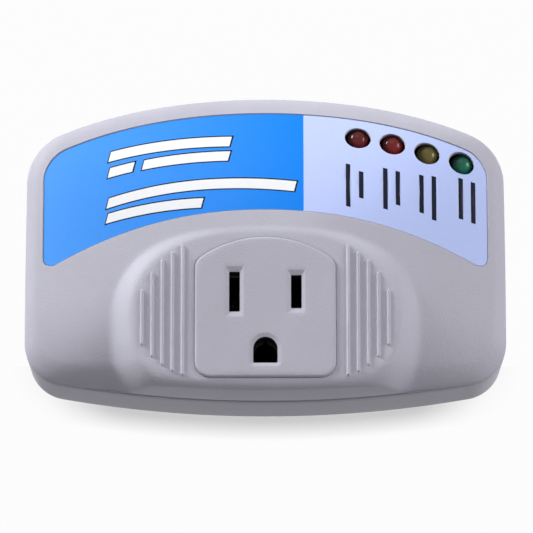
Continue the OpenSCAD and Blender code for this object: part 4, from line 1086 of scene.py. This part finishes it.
# Contact block. A black phenolic moulding with a pocket for each contact. It stands between
# the board and the socket face, and its collars reach into the openings.
dressed("contact_block", plastic("block_phenolic", (0.018, 0.018, 0.02), 0.5))

# Plug blades and ground pin. Half-hard brass, stamped or turned, with bevelled ends and a
# satin nickel plating that has picked up fine marks along its length from being plugged in.
plated = metal("nickel_plate", (0.66, 0.64, 0.6), (0.52, 0.5, 0.46), 0.28, scale=1400,
               stretch=(1, 0.06, 1))
for node in ("plug_hot_blade", "plug_neutral_blade", "plug_ground_pin"):
    dressed(node, plated)

# Blade retainer. A punched sheet of brown vulcanised fibre that traps the feet of the blades
# against the rear housing and insulates them from the board.
fibre = plastic("vulcanised_fibre", (0.3, 0.19, 0.1), 0.75, grain=0.0006, depth=0.5, mottle=0.2)
dressed("blade_retainer", fibre)

# Lamp leads. Tinned steel wires, two to a lamp, cast into its foot. They are bent into line
# and soldered to the board.
dressed("led_leads", metal("tinned_wire", (0.7, 0.7, 0.69), (0.5, 0.5, 0.49), 0.35))


# Circuit board. Glass cloth laminate under a coat of green solder resist, with openings for
# the blades, the contact block and three screws. The weave shows faintly through the coat.
def laminate(name, resist, copper):
    """Green solder resist over woven glass, slightly lighter where copper lies below it."""
    made, add, where = textured(name)
    lands = add("TexVoronoi", {"Vector": where, "Scale": 160}, distance="CHEBYCHEV")
    edge = add("MapRange", {"Value": lands, "From Min": 0.42, "From Max": 0.45})
    threads = [
        add("TexWave", {"Vector": where, "Scale": 700, "Distortion": 0.4}, bands_direction=direction)
        for direction in ("X", "Z")
    ]
    weave = combined(add, "MULTIPLY", *[thread.outputs["Fac"] for thread in threads])
    bump = add("Bump", {"Height": weave, "Strength": 0.15, "Distance": 0.0001})
    return surfaced(made, add, {
        "Base Color": blended(add, edge, copper, resist), "Roughness": 0.32, "Normal": bump})


dressed("circuit_board", laminate("solder_resist", (0.012, 0.085, 0.035), (0.025, 0.14, 0.05)))

# Relay base and cover. Two mouldings that close the relay: a black base that carries the
# pins, and a thin smoke-blue cover that is glued over it.
dressed("relay_base", plastic("relay_base_black", (0.016, 0.016, 0.018), 0.55))
cover = plastic("relay_cover_blue", (0.02, 0.075, 0.27), 0.22, grain=0.0005, depth=0.1, mottle=0.06)
dressed("relay_cover", cover)


# Relay coil. An ivory bobbin, moulded in one piece with its two flanges, and a winding of
# fine enamelled copper wire laid on it turn beside turn.
def wound(name, copper, gap, pitch):
    """Enamelled wire: fine turns round the Y axis, dark between them."""
    made, add, where = textured(name)
    wave = {"Vector": where, "Scale": 2 * math.pi / (20 * pitch), "Distortion": 0.3}
    turns = add("TexWave", wave, bands_direction="Y").outputs["Fac"]
    tint = add("ValToRGB", {"Fac": turns})
    dark, bright = tint.color_ramp.elements
    dark.color = (*gap, 1)
    bright.position = 0.45
    bright.color = (*copper, 1)
    bump = add("Bump", {"Height": turns, "Strength": 0.8, "Distance": pitch / 2})
    return surfaced(made, add, {
        "Base Color": tint, "Metallic": 0.85, "Roughness": 0.3, "Normal": bump})


dressed("relay_bobbin", plastic("bobbin_ivory", (0.68, 0.63, 0.5), 0.45))
dressed("relay_winding", wound("enamelled_copper", (0.5, 0.16, 0.05), (0.06, 0.015, 0.006), 0.00018))

# Relay iron. The yoke with its core, and the armature: soft iron, blanked and bent, then
# zinc plated. The armature rocks on the yoke's edge.
iron = metal("plated_iron", (0.42, 0.42, 0.41), (0.3, 0.3, 0.3), 0.4, scale=700)
for node in ("relay_yoke", "relay_armature"):
    dressed(node, iron)

# Relay springs. The armature's spring and the two fixed contacts, pressed from bronze strip,
# each with a riveted silver button where they meet.
for node in ("relay_spring", "relay_open_contact", "relay_closed_contact"):
    dressed(node, metal(node + "_bronze", (0.58, 0.33, 0.13), (0.42, 0.22, 0.09), 0.3))

# Dropper capacitor. A yellow moulded box with a wound film inside, filled up with resin. It
# stands on the board on two soldered leads.
box = plastic("capacitor_box", (0.72, 0.42, 0.02), 0.3, grain=0.0005, depth=0.1, mottle=0.05)
dressed("dropper_capacitor", box)


# Varistor. A pressed zinc oxide disc, dipped in blue epoxy. It stands on edge on two tinned
# leads, which are soldered to the board.
def banded(name, node, axis, bands, grain=0.0004):
    """A material in bands along one axis of a node.

    Each band is its start in millimetres over the node's low end, and its finish: a colour,
    how metallic it is and how rough."""
    low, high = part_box(node)
    length = high[axis] - low[axis]
    start = low[axis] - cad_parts[node].matrix_world.translation[axis]
    made, add, where = textured(name)
    along = add("MapRange", {
        "Value": add("SeparateXYZ", {0: where}).outputs[axis],
        "From Min": start, "From Max": start + length,
    })
    inputs = {}
    for number, socket in enumerate(("Base Color", "Metallic", "Roughness")):
        ramp = add("ValToRGB", {"Fac": along})
        ramp.color_ramp.interpolation = "CONSTANT"
        stops = ramp.color_ramp.elements
        while len(stops) < len(bands):
            stops.new(0.5)
        for stop, (band_from, finish) in zip(stops, bands):
            shade = finish[number] if socket == "Base Color" else (finish[number],) * 3
            stop.position = band_from * MM / length
            stop.color = (*shade, 1)
        inputs[socket] = ramp
    fine = add("TexNoise", {"Vector": where, "Scale": 1 / grain})
    inputs["Normal"] = add("Bump", {"Height": fine, "Strength": 0.15, "Distance": grain})
    return surfaced(made, add, inputs)


DISC_LEAD = 1
BLUE_DIP, TIN = ((0.01, 0.06, 0.3), 0, 0.35), ((0.62, 0.62, 0.6), 1, 0.35)
disc_low, disc_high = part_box("varistor")
lead_from = (disc_high.y - disc_low.y) / MM - DISC_LEAD
dip = banded("varistor_dip", "varistor", 1, ((0, BLUE_DIP), (lead_from, TIN)), grain=0.0012)
dressed("varistor", dip)

# Smoothing capacitor. A drawn aluminium can in a dark blue shrunk sleeve, open over the can's
# top. It stands on the board on two soldered leads.
CAN, SLEEVE, SLEEVE_FROM = ((0.6, 0.6, 0.61), 1, 0.3), ((0.008, 0.01, 0.05), 0, 0.3), 0.15
can = banded("can_sleeve", "smoothing_capacitor", 1, ((0, CAN), (SLEEVE_FROM, SLEEVE)))
dressed("smoothing_capacitor", can)

# Fuse. A round brown moulding with a raised cap over the fuse wire. Two pins are soldered to
# the board.
fuse_brown = plastic("fuse_moulding", (0.11, 0.04, 0.018), 0.45, grain=0.0004, depth=0.2, mottle=0.08)
dressed("fuse", fuse_brown)

# Comparator chip. A black epoxy package, moulded over a stamped frame of seven tinned legs on
# each side, which are soldered into the board.
LEG_OUT, PACKAGE = 0.32, ((0.016, 0.016, 0.017), 0, 0.6)
chip_low, chip_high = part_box("comparator_chip")
chip_w = (chip_high.z - chip_low.z) / MM
chip_bands = ((0, TIN), (LEG_OUT, PACKAGE), (chip_w - LEG_OUT, TIN))
dressed("comparator_chip", banded("chip_epoxy", "comparator_chip", 2, chip_bands))

# Rectifier diodes. Four black epoxy cylinders with a printed silver ring at the cathode, laid
# flat on the board on tinned leads.
DIODE_L, EPOXY, SILVER = 5.2, ((0.014, 0.014, 0.015), 0, 0.4), ((0.5, 0.5, 0.5), 0.6, 0.4)


def on_leads(name, node, length, rings):
    """Dress a row of bodies on tinned leads, with rings from the low end of each body."""
    low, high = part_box(node)
    body = ((high.z - low.z) / MM - length) / 2
    bands = [(body + start, finish) for start, finish in rings]
    dressed(node, banded(name, node, 2, [(0, TIN), *bands, (body + length, TIN)]))


on_leads("diode_epoxy", "rectifier_diodes", DIODE_L, ((0, EPOXY), (3.6, SILVER), (4.4, EPOXY)))

# Resistors. Five film resistors, lacquered tan and printed with colour rings, laid flat on the
# board on tinned leads.
RESISTOR_L, TAN = 6.3, ((0.46, 0.27, 0.12), 0, 0.4)
BROWN, BLACK = ((0.3, 0.09, 0.02), 0, 0.4), ((0.02, 0.02, 0.02), 0, 0.4)
RED, GOLD = ((0.5, 0.02, 0.02), 0, 0.4), ((0.5, 0.33, 0.08), 0.7, 0.4)
on_leads("resistor_lacquer", "resistors", RESISTOR_L, (
    (0, TAN), (0.9, BROWN), (1.5, TAN), (2.2, BLACK), (2.8, TAN),
    (3.5, RED), (4.1, TAN), (5.0, GOLD), (5.5, TAN),
))

# Trimmers. Two blue moulded bodies, soldered to the board. Each holds a white moulded rotor
# that a screwdriver turns, to set the voltage at which the relay lets go.
for level in ("low", "high"):
    dressed(level + "_trimmer_body", plastic(level + "_trimmer_blue", (0.012, 0.045, 0.21), 0.4))
    dressed(level + "_trimmer_rotor", plastic(level + "_rotor_white", (0.74, 0.73, 0.7), 0.45))

# Screws. Pan heads with a cross recess, zinc plated: four hold the two housings together and
# three hold the board to the rear housing.
for node in ("housing_screws", "board_screws"):
    dressed(node, metal(node + "_zinc", (0.6, 0.6, 0.58), (0.44, 0.43, 0.4), 0.33))

# Show the colours as they are written.
bpy.context.scene.view_settings.view_transform = "Standard"
